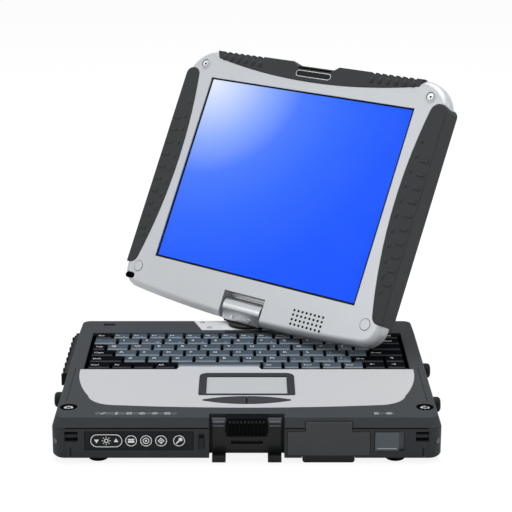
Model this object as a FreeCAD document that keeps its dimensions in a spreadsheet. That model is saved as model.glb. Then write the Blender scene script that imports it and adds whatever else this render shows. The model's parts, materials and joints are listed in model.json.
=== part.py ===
# Rugged convertible notebook: a base with a keyboard, and a display on a hinge that swivels and tilts.
# Frame: +X to the right, +Y to the rear, +Z up. The origin is the middle of the footprint on the desk.
import FreeCAD, Part
import math
import os
import types

import Sketcher

SIZES = {
    # Casing of the base
    "base_width": 271.0,
    "base_depth": 218.0,
    "foot_height": 3.5,
    "split_height": 26.0,
    "deck_height": 33.0,
    "case_wall": 2.0,
    "deck_wall": 2.4,
    "deck_rim": 5.2,
    "case_corner": 9.0,
    "deck_slope": 21.0,
    "under_chamfer": 1.2,
    # Clearances: moving pieces, seated pieces, pins that turn in their holes
    "moving_gap": 0.3,
    "seat_gap": 0.15,
    "running_gap": 0.05,
    # Feet
    "foot_radius": 7.0,
    "foot_round": 1.2,
    "foot_stem_radius": 2.0,
    "foot_side_inset": 31.5,
    "foot_front_inset": 10.0,
    "foot_rear_inset": 13.0,
    # Latch bay in the middle of the front
    "bay_half_width": 26.2,
    "bay_wall": 1.6,
    "bay_depth": 10.0,
    "latch_pin_radius": 1.5,
    "latch_pin_inset": 2.5,
    "latch_pin_height": 30.0,
    "latch_knuckle": 3.0,
    "latch_arm_inner": 14.7,
    "latch_arm_outer": 24.2,
    "latch_arm_thick": 2.4,
    "latch_arm_offset": 4.6,
    "latch_claw_low": 1.0,
    "latch_claw_height": 5.0,
    "latch_claw_reach": 3.5,
    "latch_plate_low": 6.8,
    "latch_plate_high": 18.8,
    "latch_slot_half": 11.0,
    "latch_slot_height": 2.2,
    "latch_block_half": 14.2,
    "latch_block_low": 19.6,
    "latch_block_front": 0.6,
    "latch_rib_pitch": 2.6,
    "latch_rib_depth": 0.8,
    "latch_rib_width": 1.2,
    # Button panel on the front
    "panel_strap_gap": 4.6,
    "panel_bay_gap": 10.7,
    "panel_low": 9.7,
    "panel_high": 23.8,
    "panel_set_back": 0.4,
    "panel_flange": 1.4,
    "flange_thick": 1.2,
    "button_height": 16.8,
    "button_space": 1.8,
    "button_flange_space": 0.4,
    "button_proud": 0.4,
    "button_rocker_gap": 5.9,
    "button_last_gap": 2.1,
    "button_end": 10.1,
    "rocker_inset": 4.0,
    "rocker_width": 22.6,
    "rocker_tall": 10.0,
    "rocker_pin_radius": 1.2,
    # Slide switch beside the latch bay
    "switch_bay_gap": 3.2,
    "switch_width": 4.0,
    "switch_low": 11.0,
    "switch_high": 22.2,
    "switch_knob": 7.6,
    "switch_proud": 0.5,
    # Battery pack and its latch
    "battery_bay_gap": 2.1,
    "battery_knob_gap": 3.3,
    "battery_top": 23.4,
    "battery_length": 145.0,
    "battery_head_half": 16.1,
    "battery_head_top": 30.2,
    "battery_head_thick": 3.6,
    "tab_half": 18.2,
    "tab_low": 0.6,
    "tab_thick": 4.6,
    "knob_strap_gap": 7.8,
    "knob_window_width": 20.8,
    "knob_window_low": 9.3,
    "knob_window_high": 23.5,
    "knob_width": 16.6,
    "knob_proud": 0.5,
    "knob_travel": 3.0,
    # Strap bars in the front corners
    "strap_side_inset": 8.8,
    "strap_width": 9.3,
    "strap_low": 16.2,
    "strap_high": 23.4,
    "strap_deep": 6.0,
    "strap_bar_radius": 1.5,
    "strap_bar_inset": 2.5,
    "notch_side_inset": 12.9,
    "notch_width": 1.2,
    "notch_low": 5.6,
    "notch_high": 11.5,
    # Covers on the sides
    "cover_low": 10.0,
    "cover_high": 25.0,
    "cover_recess": 3.0,
    "cover_pin_radius": 0.8,
    "cover_pin_reach": 1.5,
    "cover_pad": 3.0,
    "ribbed_cover_length": 94.0,
    "ribbed_cover_rear_inset": 10.0,
    "ribbed_cover_proud": 2.6,
    "ribbed_cover_lift": 3.6,
    "rib_pitch": 6.0,
    "rib_width": 2.4,
    "rib_proud": 1.0,
    "round_cover_half": 8.5,
    "round_cover_proud": 5.6,
    "round_cover_radius": 5.6,
    "round_cover_edge": 2.4,
    "left_jack_inset": 73.0,
    "right_card_inset": 63.0,
    "right_jack_inset": 135.0,
    "power_inlet_inset": 33.0,
    "power_inlet_radius": 4.0,
    "power_inlet_bore": 2.75,
    "power_inlet_pin": 0.8,
    "power_inlet_deep": 9.0,
    "lock_slot_inset": 23.5,
    "lock_slot_width": 7.0,
    "lock_slot_height": 3.0,
    # Screws
    "screw_radius": 1.5,
    "screw_head_radius": 3.4,
    "screw_head_height": 1.5,
    "deck_screw_side_inset": 10.0,
    "deck_screw_front_inset": 22.8,
    "deck_cup_radius": 4.8,
    "deck_cup_depth": 1.8,
    "rear_screw_side_inset": 13.5,
    "rear_screw_rear_inset": 16.0,
    "boss_radius": 4.4,
    "screw_depth": 14.0,
    # Palm rest and touchpad
    "palm_thick": 1.2,
    "palm_side_inset": 10.9,
    "palm_key_gap": 3.0,
    "palm_side_taper": 10.8,
    "palm_side_front": 45.0,
    "palm_side_radius": 140.0,
    "palm_corner_taper": 27.9,
    "palm_corner_front": 27.0,
    "palm_corner_radius": 21.6,
    "palm_front_radius": 885.0,
    "palm_tab_inset": 0.5,
    "palm_tab_gap": 1.0,
    "palm_tab_slant": 2.0,
    "surround_half": 34.8,
    "surround_rear_gap": 8.8,
    "surround_front_inset": 48.6,
    "surround_corner": 6.5,
    "surround_proud": 0.4,
    "pad_side_border": 5.5,
    "pad_rear_border": 7.5,
    "pad_sunk": 0.3,
    "bar_half": 33.0,
    "bar_front_inset": 36.3,
    "bar_half_depth": 7.4,
    "bar_round": 1.6,
    "bar_proud": 0.3,
    "bar_split": 0.8,
    "bar_flange": 1.6,
    # Status windows in the deck
    "status_side_inset": 29.5,
    "status_width": 58.0,
    "status_pair_inset": 32.5,
    "status_pair_width": 15.0,
    "status_front_inset": 10.6,
    "status_half": 2.4,
    "status_thick": 1.2,
    # Lines pressed into the side borders and the small recess behind the keyboard
    "line_width": 0.7,
    "line_depth": 0.5,
    "line_side_inset": 7.3,
    "line_front_inset": 33.0,
    "dimple_side_inset": 24.5,
    "dimple_rear_inset": 12.6,
    "dimple_half_width": 4.6,
    "dimple_half_depth": 3.0,
    "dimple_depth": 1.4,
    # Keyboard
    "well_side_margin": 2.1,
    "well_front_margin": 2.4,
    "well_rear_margin": 1.2,
    "well_rear_inset": 33.0,
    "tray_rim": 1.4,
    "tray_bottom": 26.6,
    "tray_thick": 1.0,
    "key_field_inset": 15.2,
    "key_row_pitch": 13.8,
    "key_depth": 12.9,
    "key_back_depth": 11.4,
    "key_space": 0.9,
    "key_top": 33.2,
    "key_tall": 2.9,
    "key_side_slope": 0.9,
    "key_front_slope": 1.9,
    "key_rear_slope": 0.6,
    "plunger_radius": 2.0,
    "plunger_reach": 3.4,
    "space_set_back": 4.4,
    # Swivel
    "swivel_rear_inset": 11.0,
    "swivel_rest": 41.0,
    "swivel_plate_thick": 1.4,
    "swivel_plate_proud": 0.2,
    "swivel_plate_rear_inset": 3.0,
    "swivel_plate_depth": 22.8,
    "swivel_plate_rear_half": 43.0,
    "swivel_plate_front_half": 36.0,
    "swivel_boss_radius": 7.0,
    "swivel_boss_low": 27.8,
    "swivel_shaft_radius": 5.0,
    "swivel_shaft_bore": 3.0,
    "swivel_shaft_low": 22.0,
    "swivel_collar_radius": 6.4,
    "swivel_collar_thick": 2.4,
    "turret_radius": 15.0,
    "turret_disc_thick": 1.9,
    "turret_core_half": 6.3,
    "lock_bar_left": -17.1,
    "lock_bar_right": 12.1,
    "lock_bar_rear_inset": 32.0,
    "lock_bar_depth": 4.8,
    "lock_bar_top": 33.6,
    "lock_bar_thick": 1.4,
    "lock_bar_travel": 4.0,
    "lock_tongue_left": -6.0,
    "lock_tongue_right": 0.0,
    "lock_tongue_depth": 1.6,
    "lock_flange_side": 3.0,
    "lock_flange_depth": 4.0,
    # Tilt hinge
    "tilt_rest": 27.0,
    "barrel_half": 19.3,
    "barrel_radius": 8.2,
    "barrel_leg": 0.1,
    "barrel_lift": 0.8,
    "tilt_shaft_radius": 3.0,
    "tilt_shaft_half": 39.0,
    "hinge_screw_x": 9.0,
    "hinge_screw_drop": 5.0,
    "hinge_screw_head": 1.7,
    "hinge_screw_proud": 0.8,
    "hinge_screw_shank": 0.9,
    "bracket_inner": 23.8,
    "bracket_outer": 40.0,
    "bracket_low": -4.5,
    "bracket_high": 8.0,
    "bracket_half_thick": 4.5,
    # Display: x to the right, y up the display from the tilt axis, z out of the screen
    "lid_overhang": 1.5,
    "lid_chin": -10.5,
    "chin_radius": 1200.0,
    "lid_low_corner": 17.0,
    "lid_top_corner": 28.0,
    "bezel_front": 8.5,
    "lid_back": -7.5,
    "lid_split": 1.0,
    "bezel_round": 5.5,
    "lid_back_round": 7.0,
    "bezel_face": 1.1,
    "lid_wall": 2.0,
    "notch_half": 21.5,
    "notch_top": 11.5,
    "notch_wall": 2.0,
    "screen_side_border": 29.7,
    "screen_low": 24.5,
    "screen_top_border": 24.0,
    "screen_bay_side": 5.6,
    "screen_bay_drop": 6.5,
    "screen_bay_rise": 6.1,
    "glass_border": 3.2,
    "glass_thick": 1.1,
    "screen_border": 5.0,
    "screen_thick": 5.2,
    "chin_bay_inset": 35.5,
    "chin_bay_low": -3.0,
    "hinge_bay_outer": 44.0,
    "hinge_bay_low": -4.8,
    "hinge_bay_half_thick": 4.9,
    "grip_low": 14.5,
    "grip_top_gap": 17.5,
    "grip_proud": 0.4,
    "grip_depth": 22.1,
    "grip_bow_rise": 97.5,
    "grip_inner_radius": 385.0,
    "grip_end_radius": 7.5,
    "grip_outer_corner": 6.0,
    "grip_edge": 1.2,
    "grip_rib_first": 31.5,
    "grip_rib_pitch": 11.0,
    "grip_rib_count": 10,
    "grip_rib_width": 2.4,
    "grip_rib_inset": 2.7,
    "grip_rib_length": 7.0,
    "grip_rib_proud": 0.5,
    "bumper_end_taper": 3.5,
    "bumper_end_drop": 6.5,
    "bumper_radius": 580.0,
    "bumper_proud": 0.4,
    "bumper_edge": 0.8,
    "recess_half": 23.5,
    "recess_slant": 4.5,
    "recess_depth": 3.0,
    "ridge_end_gap": 9.9,
    "ridge_pitch": 6.6,
    "ridge_count": 7,
    "ridge_width": 2.4,
    "ridge_depth": 1.2,
    "corner_screw_side": 18.5,
    "corner_screw_drop": 13.0,
    "corner_screw_cup": 3.9,
    "corner_cup_depth": 1.1,
    "corner_screw_radius": 1.3,
    "corner_screw_length": 11.0,
    "cap_side": 15.0,
    "cap_y": 12.6,
    "cap_radius": 4.4,
    "cap_thick": 1.3,
    "cap_proud": 0.25,
    "cord_eye_side": 7.9,
    "cord_eye_y": 3.6,
    "cord_eye_half": 6.0,
    "cord_eye_radius": 2.6,
    "cord_eye_depth": 3.4,
    "grille_left": 52.4,
    "grille_low": -1.5,
    "grille_pitch_x": 4.1,
    "grille_pitch_y": 3.7,
    "grille_columns": 8,
    "grille_rows": 4,
    "grille_hole": 0.8,
    "speaker_width": 33.0,
    "speaker_height": 13.6,
    "speaker_thick": 4.6,
    "display_board_inset": 4.0,
    "display_board_width": 46.0,
    "display_board_low": 1.0,
    "display_board_high": 14.0,
    "board_thick": 1.6,
    # Inside the base
    "board_low": 14.0,
    "board_side_inset": 7.5,
    "board_rear_inset": 8.0,
    "board_drive_gap": 5.0,
    "board_wing_inset": 49.0,
    "board_wing_width": 10.0,
    "board_battery_gap": 4.4,
    "board_step_gap": 9.0,
    "standoff_radius": 3.0,
    "standoff_inset": 4.0,
    "drive_side_inset": 19.5,
    "drive_width": 70.0,
    "drive_front_inset": 14.0,
    "drive_length": 100.0,
    "drive_thick": 9.5,
    "spreader_left": -70.0,
    "spreader_right": 8.0,
    "spreader_front_gap": 10.0,
    "spreader_rear": 74.0,
    "spreader_base": 3.0,
    "spreader_fin": 4.4,
    "spreader_fin_width": 2.0,
    "spreader_fin_pitch": 6.5,
    "memory_left": -98.0,
    "memory_width": 67.6,
    "memory_front": 36.0,
    "memory_depth": 30.0,
    "memory_low": 9.6,
    "memory_thick": 1.2,
    "memory_socket_depth": 6.0,
    "memory_socket_low": 9.0,
    "door_margin": 5.0,
    "door_lip": 3.0,
    "door_thick": 1.2,
    "door_screw_inset": 4.0,
    "door_boss_radius": 3.4,
    "connector_deep": 14.0,
    "usb_width": 13.1,
    "usb_height": 5.8,
    "network_width": 16.0,
    "network_height": 8.0,
    "first_usb_place": 19.0,
    "second_usb_place": 41.0,
    "network_place": 73.0,
    "jack_width": 10.0,
}

# Widths of the keys from the left, in letter keys; each row shares the width of the key field.
FRONT_ROW_LEFT = [1.0, 0.91, 0.91, 0.91]
SPACE_BAR_WIDTH = 3.57
FRONT_ROW_RIGHT = [0.89, 0.71, 0.89, 0.9, 0.9, 0.91, 0.85]
LETTER_ROWS = [
    [1.45] + [1.0] * 9 + [0.71, 1.35, 0.86],
    [1.02] + [1.0] * 9 + [0.94, 0.89, 1.52],
    [0.61] + [1.0] * 9 + [0.94, 0.72, 0.72, 1.37],
    [1.04] + [1.0] * 10 + [0.72, 0.72, 0.88],
]
FUNCTION_ROW = [1.0] * 17
ROUND_BUTTONS = 4


class Size:
    """A number that keeps the sheet expression it comes from, so that a feature can be bound to it."""

    def __init__(self, value, text):
        self.value = float(value)
        self.text = text

    def __add__(self, other):
        other = as_size(other)
        return Size(self.value + other.value, f"({self.text} + {other.text})")

    def __sub__(self, other):
        other = as_size(other)
        return Size(self.value - other.value, f"({self.text} - {other.text})")

    def __mul__(self, other):
        other = as_size(other)
        return Size(self.value * other.value, f"({self.text} * {other.text})")

    def __truediv__(self, other):
        other = as_size(other)
        return Size(self.value / other.value, f"({self.text} / {other.text})")

    def __radd__(self, other):
        return as_size(other) + self

    def __rsub__(self, other):
        return as_size(other) - self

    def __rmul__(self, other):
        return as_size(other) * self

    def __neg__(self):
        return Size(-self.value, f"(0 - {self.text})")


def as_size(number):
    """A plain number becomes a Size too."""
    return number if isinstance(number, Size) else Size(number, repr(float(number)))


def root(size):
    """The square root of a size that holds an area."""
    return Size(math.sqrt(size.value), f"sqrt({size.text})")


doc = FreeCAD.newDocument("ConvertibleNotebook")
sheet = doc.addObject("Spreadsheet::Sheet", "Sizes")
for row, (alias, number) in enumerate(SIZES.items(), start=1):
    sheet.set(f"A{row}", alias)
    sheet.set(f"B{row}", str(number))
    sheet.setAlias(f"B{row}", alias)
doc.recompute()
d = types.SimpleNamespace(**{alias: Size(number, f"Sizes.{alias}") for alias, number in SIZES.items()})

nodes = []
TURNED = {
    "x": FreeCAD.Rotation(FreeCAD.Vector(0, 1, 0), 90),
    "y": FreeCAD.Rotation(FreeCAD.Vector(1, 0, 0), -90),
    "z": FreeCAD.Rotation(),
}
PAST = 1.0


def bind(item, prop, size):
    item.setExpression(prop, as_size(size).text)


def node(name, item):
    """A finished sub-part: its label names its file."""
    item.Label = name
    nodes.append(item)
    return item


def across(half):
    """A span that is symmetric about the middle plane."""
    return (-half, half)


def about(middle, half):
    return (middle - half, middle + half)


def outward(side, inner, outer):
    """A span along X on the right (side 1) or, mirrored, on the left (side -1)."""
    return (inner, outer) if side > 0 else (-outer, -inner)


def block(x, y, z):
    """A box between two corners, each span a pair of sizes."""
    item = doc.addObject("Part::Box", "Block")
    for prop, axis, (low, high) in zip(("Length", "Width", "Height"), "xyz", (x, y, z)):
        bind(item, prop, as_size(high) - low)
        bind(item, f"Placement.Base.{axis}", low)
    return item


def rod(radius, along, centre, span):
    """A cylinder along one axis; centre gives the other two coordinates in order."""
    item = doc.addObject("Part::Cylinder", "Rod")
    item.Placement = FreeCAD.Placement(FreeCAD.Vector(), TURNED[along])
    bind(item, "Radius", radius)
    bind(item, "Height", as_size(span[1]) - span[0])
    places = dict(zip([axis for axis in "xyz" if axis != along], centre))
    places[along] = span[0]
    for axis, place in places.items():
        bind(item, f"Placement.Base.{axis}", place)
    return item


def group(members):
    item = doc.addObject("Part::Compound", "Group")
    item.Links = members
    return item


def join(*members):
    item = doc.addObject("Part::MultiFuse", "Join")
    item.Shapes = list(members)
    return item


def cut(base, *tools):
    item = doc.addObject("Part::Cut", "Cut")
    item.Base = base
    item.Tool = tools[0] if len(tools) == 1 else join(*tools)
    return item


def arc_centre(start, end, radius):
    """Centre of the short arc between two points, on the left of the way from start to end if radius > 0."""
    dx, dy = end[0] - start[0], end[1] - start[1]
    chord = math.hypot(dx, dy)
    rise = math.copysign(math.sqrt(radius * radius - chord * chord / 4), radius)
    return ((start[0] + end[0]) / 2 - dy / chord * rise, (start[1] + end[1]) / 2 + dx / chord * rise)


def draw(sketch, outline):
    """Draws a closed outline of corners (x, y), or (x, y, radius) where an arc leads to the next corner.

    Each corner's two coordinates and each radius are constraints bound to the sheet. A positive radius turns
    left.
    """
    points = [(as_size(corner[0]).value, as_size(corner[1]).value) for corner in outline]
    ends = []
    for index, corner in enumerate(outline):
        start, end = points[index], points[(index + 1) % len(points)]
        first, last = FreeCAD.Vector(*start, 0), FreeCAD.Vector(*end, 0)
        if len(corner) == 2:
            line = sketch.addGeometry(Part.LineSegment(first, last))
            ends.append((line, 1, 2))
            continue
        radius = as_size(corner[2]).value
        middle = arc_centre(start, end, radius)
        angles = [math.atan2(point[1] - middle[1], point[0] - middle[0]) for point in (start, end)]
        if radius < 0:
            angles.reverse()
        circle = Part.Circle(FreeCAD.Vector(*middle, 0), FreeCAD.Vector(0, 0, 1), abs(radius))
        arc = sketch.addGeometry(Part.ArcOfCircle(circle, angles[0], angles[1]))
        ends.append((arc, 1, 2) if radius > 0 else (arc, 2, 1))
    for index, (geometry, start_end, far_end) in enumerate(ends):
        following = ends[(index + 1) % len(ends)]
        sketch.addConstraint(Sketcher.Constraint("Coincident", geometry, far_end, following[0], following[1]))
    for index, corner in enumerate(outline):
        geometry, start_end, far_end = ends[index]
        for kind, place in (("DistanceX", corner[0]), ("DistanceY", corner[1])):
            place = as_size(place)
            number = sketch.addConstraint(Sketcher.Constraint(kind, -1, 1, geometry, start_end, place.value))
            sketch.setExpression(f"Constraints[{number}]", place.text)
        if len(corner) == 3:
            radius = as_size(corner[2])
            radius = radius if radius.value > 0 else -radius
            number = sketch.addConstraint(Sketcher.Constraint("Radius", geometry, radius.value))
            sketch.setExpression(f"Constraints[{number}]", radius.text)


def prism(outline, low, high, taper=None):
    """A body padded upwards from a sketch of the outline; taper draws the walls in, in degrees."""
    body = doc.addObject("PartDesign::Body", "Body")
    sketch = body.newObject("Sketcher::SketchObject", "Outline")
    plane = [feature for feature in body.Origin.OriginFeatures if feature.Role == "XY_Plane"][0]
    sketch.AttachmentSupport = [(plane, "")]
    sketch.MapMode = "FlatFace"
    bind(sketch, "AttachmentOffset.Base.z", low)
    draw(sketch, outline)
    pad = body.newObject("PartDesign::Pad", "Pad")
    pad.Profile = sketch
    bind(pad, "Length", as_size(high) - low)
    if taper is not None:
        bind(pad, "TaperAngle", -taper)
    return body


def soften(body, kind, amount, height):
    """Rounds (Fillet) or bevels (Chamfer) all edges of a body that lie at one height."""
    doc.recompute()
    last = body.Tip
    level = as_size(height).value
    names = []
    for number, edge in enumerate(last.Shape.Edges, start=1):
        box = edge.BoundBox
        if abs(box.ZMin - level) < 1e-4 and abs(box.ZMax - level) < 1e-4:
            names.append(f"Edge{number}")
    feature = body.newObject(f"PartDesign::{kind}", kind)
    feature.Base = (last, names)
    bind(feature, "Radius" if kind == "Fillet" else "Size", amount)
    return body


def rounded(x, y, radius):
    """Outline of a rectangle with round corners."""
    (left, right), (low, high) = x, y
    return [
        (left + radius, low),
        (right - radius, low, radius),
        (right, low + radius),
        (right, high - radius, radius),
        (right - radius, high),
        (left + radius, high, radius),
        (left, high - radius),
        (left, low + radius, radius),
    ]


def mirrored(outline):
    """The same outline on the other side of the middle plane, still running anticlockwise."""
    result = []
    for index in range(len(outline) - 1, -1, -1):
        before = outline[index - 1]
        result.append((-outline[index][0], outline[index][1]) + tuple(before[2:]))
    return result


# Planes of the base
SIDE = d.base_width / 2
FRONT = -d.base_depth / 2
REAR = d.base_depth / 2
FLOOR = d.foot_height + d.case_wall
UNDER_DECK = d.deck_height - d.deck_wall
BAY_BACK = FRONT + d.bay_depth
INNER_FRONT = FRONT + d.case_wall
BOARD_TOP = d.board_low + d.board_thick

# Places in the front of the base
LATCH_PIN_Y = FRONT + d.latch_pin_inset
STRAP_OUTER = SIDE - d.strap_side_inset
STRAP_INNER = STRAP_OUTER - d.strap_width
PANEL_LEFT = d.panel_strap_gap - STRAP_INNER
PANEL_RIGHT = -d.bay_half_width - d.panel_bay_gap
ROCKER_LEFT = PANEL_LEFT + d.rocker_inset
ROCKER_RIGHT = ROCKER_LEFT + d.rocker_width
ROCKER_MIDDLE = (ROCKER_LEFT + ROCKER_RIGHT) / 2
FIRST_BUTTON = ROCKER_RIGHT + d.button_rocker_gap
LAST_BUTTON = PANEL_RIGHT - d.button_end
BUTTON_PITCH = (LAST_BUTTON - d.button_last_gap - FIRST_BUTTON) / (ROUND_BUTTONS - 1)
BUTTON_RADIUS = (BUTTON_PITCH - d.button_space) / 2
SWITCH_RIGHT = -d.bay_half_width - d.switch_bay_gap
SWITCH_LEFT = SWITCH_RIGHT - d.switch_width
KNOB_RIGHT = STRAP_INNER - d.knob_strap_gap
KNOB_LEFT = KNOB_RIGHT - d.knob_window_width
BATTERY_LEFT = d.bay_half_width + d.battery_bay_gap
BATTERY_RIGHT = KNOB_LEFT - d.battery_knob_gap
BATTERY_MIDDLE = (BATTERY_LEFT + BATTERY_RIGHT) / 2

# Places on the deck
KEY_HALF = SIDE - d.key_field_inset
WELL_HALF = KEY_HALF + d.well_side_margin
WELL_REAR = REAR - d.well_rear_inset
KEYS_FRONT = WELL_REAR - d.well_rear_margin - d.key_back_depth - d.key_row_pitch * (len(LETTER_ROWS) + 1)
WELL_FRONT = KEYS_FRONT - d.well_front_margin
PALM_HALF = SIDE - d.palm_side_inset
PALM_REAR = KEYS_FRONT - d.palm_key_gap
SURROUND_REAR = PALM_REAR - d.surround_rear_gap
SURROUND_FRONT = FRONT + d.surround_front_inset
PAD_HALF = d.surround_half - d.pad_side_border
PAD_REAR = SURROUND_REAR - d.pad_rear_border
BAR_MIDDLE = FRONT + d.bar_front_inset
STATUS_Y = FRONT + d.status_front_inset
SWIVEL_Y = REAR - d.swivel_rear_inset
LOCK_BAR_FRONT = REAR - d.lock_bar_rear_inset

# Places inside the base
DRIVE_LEFT = d.drive_side_inset - SIDE
DRIVE_FRONT = FRONT + d.drive_front_inset
BOARD_SIDE = SIDE - d.board_side_inset
BOARD_REAR = REAR - d.board_rear_inset
BOARD_FRONT = DRIVE_FRONT + d.drive_length + d.board_drive_gap
BOARD_WING_FRONT = FRONT + d.board_wing_inset
BOARD_RIGHT_WING = BATTERY_RIGHT + d.board_battery_gap
BOARD_STEP_X = BATTERY_LEFT - d.board_battery_gap
BOARD_STEP_Y = FRONT + d.battery_length + d.board_step_gap
POWER_INLET_Y = REAR - d.power_inlet_inset

# Covers on the sides: name, side, front end, rear end
RIBBED_REAR = REAR - d.ribbed_cover_rear_inset
RIBBED_FRONT = RIBBED_REAR - d.ribbed_cover_length
LEFT_JACK_Y = FRONT + d.left_jack_inset
RIGHT_CARD_Y = FRONT + d.right_card_inset
RIGHT_JACK_Y = FRONT + d.right_jack_inset
COVERS = [
    ("left_ribbed_cover", -1, RIBBED_FRONT, RIBBED_REAR),
    ("left_jack_cover", -1) + about(LEFT_JACK_Y, d.round_cover_half),
    ("right_card_cover", 1) + about(RIGHT_CARD_Y, d.round_cover_half),
    ("right_jack_cover", 1) + about(RIGHT_JACK_Y, d.round_cover_half),
]
COVER_PIVOT_X = SIDE - (d.cover_recess - d.moving_gap) / 2
COVER_PIVOT_Z = d.cover_low + (d.cover_recess - d.moving_gap) / 2
COVER_BACK = SIDE - d.cover_recess

# Connectors behind the covers: side, middle along Y, width, height
CONNECTORS = [
    (-1, RIBBED_FRONT + d.first_usb_place, d.usb_width, d.usb_height),
    (-1, RIBBED_FRONT + d.second_usb_place, d.usb_width, d.usb_height),
    (-1, RIBBED_FRONT + d.network_place, d.network_width, d.network_height),
    (-1, LEFT_JACK_Y, d.jack_width, d.usb_height),
    (1, RIGHT_CARD_Y, d.usb_width, d.usb_height),
    (1, RIGHT_JACK_Y, d.jack_width, d.usb_height),
]


def key_row(shares, index, depth):
    """A row as a list of (left, width, front, depth), the shares filling the key field."""
    left = -KEY_HALF
    front = KEYS_FRONT + d.key_row_pitch * index
    row = []
    for share in shares:
        width = KEY_HALF * 2 * (share / sum(shares))
        row.append((left, width, front, depth))
        left = left + width
    return row


def keyboard_layout():
    """Every row of keys, front row first; the space bar is kept apart."""
    front_row = key_row(FRONT_ROW_LEFT + [SPACE_BAR_WIDTH] + FRONT_ROW_RIGHT, 0, d.key_depth)
    left, width, front, depth = front_row.pop(len(FRONT_ROW_LEFT))
    space = (left, width, front + d.space_set_back, depth - d.space_set_back)
    rows = [front_row]
    for index, shares in enumerate(LETTER_ROWS, start=1):
        rows.append(key_row(shares, index, d.key_depth))
    rows.append(key_row(FUNCTION_ROW, len(rows), d.key_back_depth))
    return rows, space


KEY_ROWS, SPACE_BAR = keyboard_layout()


def case_prism(inset, low, high, taper=None):
    """The base's outline, drawn in by an inset."""
    outline = rounded(across(SIDE - inset), (FRONT + inset, REAR - inset), d.case_corner - inset)
    return prism(outline, low, high, taper)


def screw_points():
    """Deck screws at the front, casing screws at the rear."""
    front_x, front_y = SIDE - d.deck_screw_side_inset, FRONT + d.deck_screw_front_inset
    rear_x, rear_y = SIDE - d.rear_screw_side_inset, REAR - d.rear_screw_rear_inset
    front = [(side * front_x, front_y) for side in (-1, 1)]
    rear = [(side * rear_x, rear_y) for side in (-1, 1)]
    return front, rear


def connector_span(side, middle, width, height, clearance):
    return (
        outward(side, COVER_BACK - d.connector_deep - clearance, COVER_BACK + clearance),
        about(middle, width / 2 + clearance),
        (BOARD_TOP + d.seat_gap - clearance, BOARD_TOP + d.seat_gap + height + clearance),
    )


def cover_recess_tools():
    """Recess, pin holes and connector holes behind each side cover."""
    tools = []
    for name, side, front, rear in COVERS:
        ends = (front - d.moving_gap, rear + d.moving_gap)
        tall = (d.cover_low - d.moving_gap, d.cover_high + d.moving_gap)
        tools.append(block(outward(side, COVER_BACK, SIDE + PAST), ends, tall))
        reach = (front - d.cover_pin_reach - d.moving_gap, rear + d.cover_pin_reach + d.moving_gap)
        pivot = (side * COVER_PIVOT_X, COVER_PIVOT_Z)
        tools.append(rod(d.cover_pin_radius + d.running_gap, "y", pivot, reach))
    for side, middle, width, height in CONNECTORS:
        tools.append(block(*connector_span(side, middle, width, height, d.seat_gap)))
    return tools


def memory_door_span(margin):
    left = d.memory_left - margin
    right = d.memory_left + d.memory_width + margin
    return (left, right), (d.memory_front - margin, d.memory_front + d.memory_depth + margin)


def door_screw_points():
    x, y = memory_door_span(d.door_margin)
    middle = (y[0] + y[1]) / 2
    return [(x[0] + d.door_screw_inset, middle), (x[1] - d.door_screw_inset, middle)]


def standoff_points():
    inner = d.standoff_inset
    return [
        (inner - BOARD_SIDE, BOARD_WING_FRONT + inner),
        (inner - BOARD_SIDE, BOARD_FRONT + inner * 2),
        (BOARD_STEP_X - inner, BOARD_FRONT + inner),
        (BOARD_SIDE - inner, BOARD_WING_FRONT + inner),
        (BOARD_RIGHT_WING + inner, BOARD_STEP_Y + inner),
        (BOARD_STEP_X, BOARD_REAR - inner),
    ]


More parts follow.
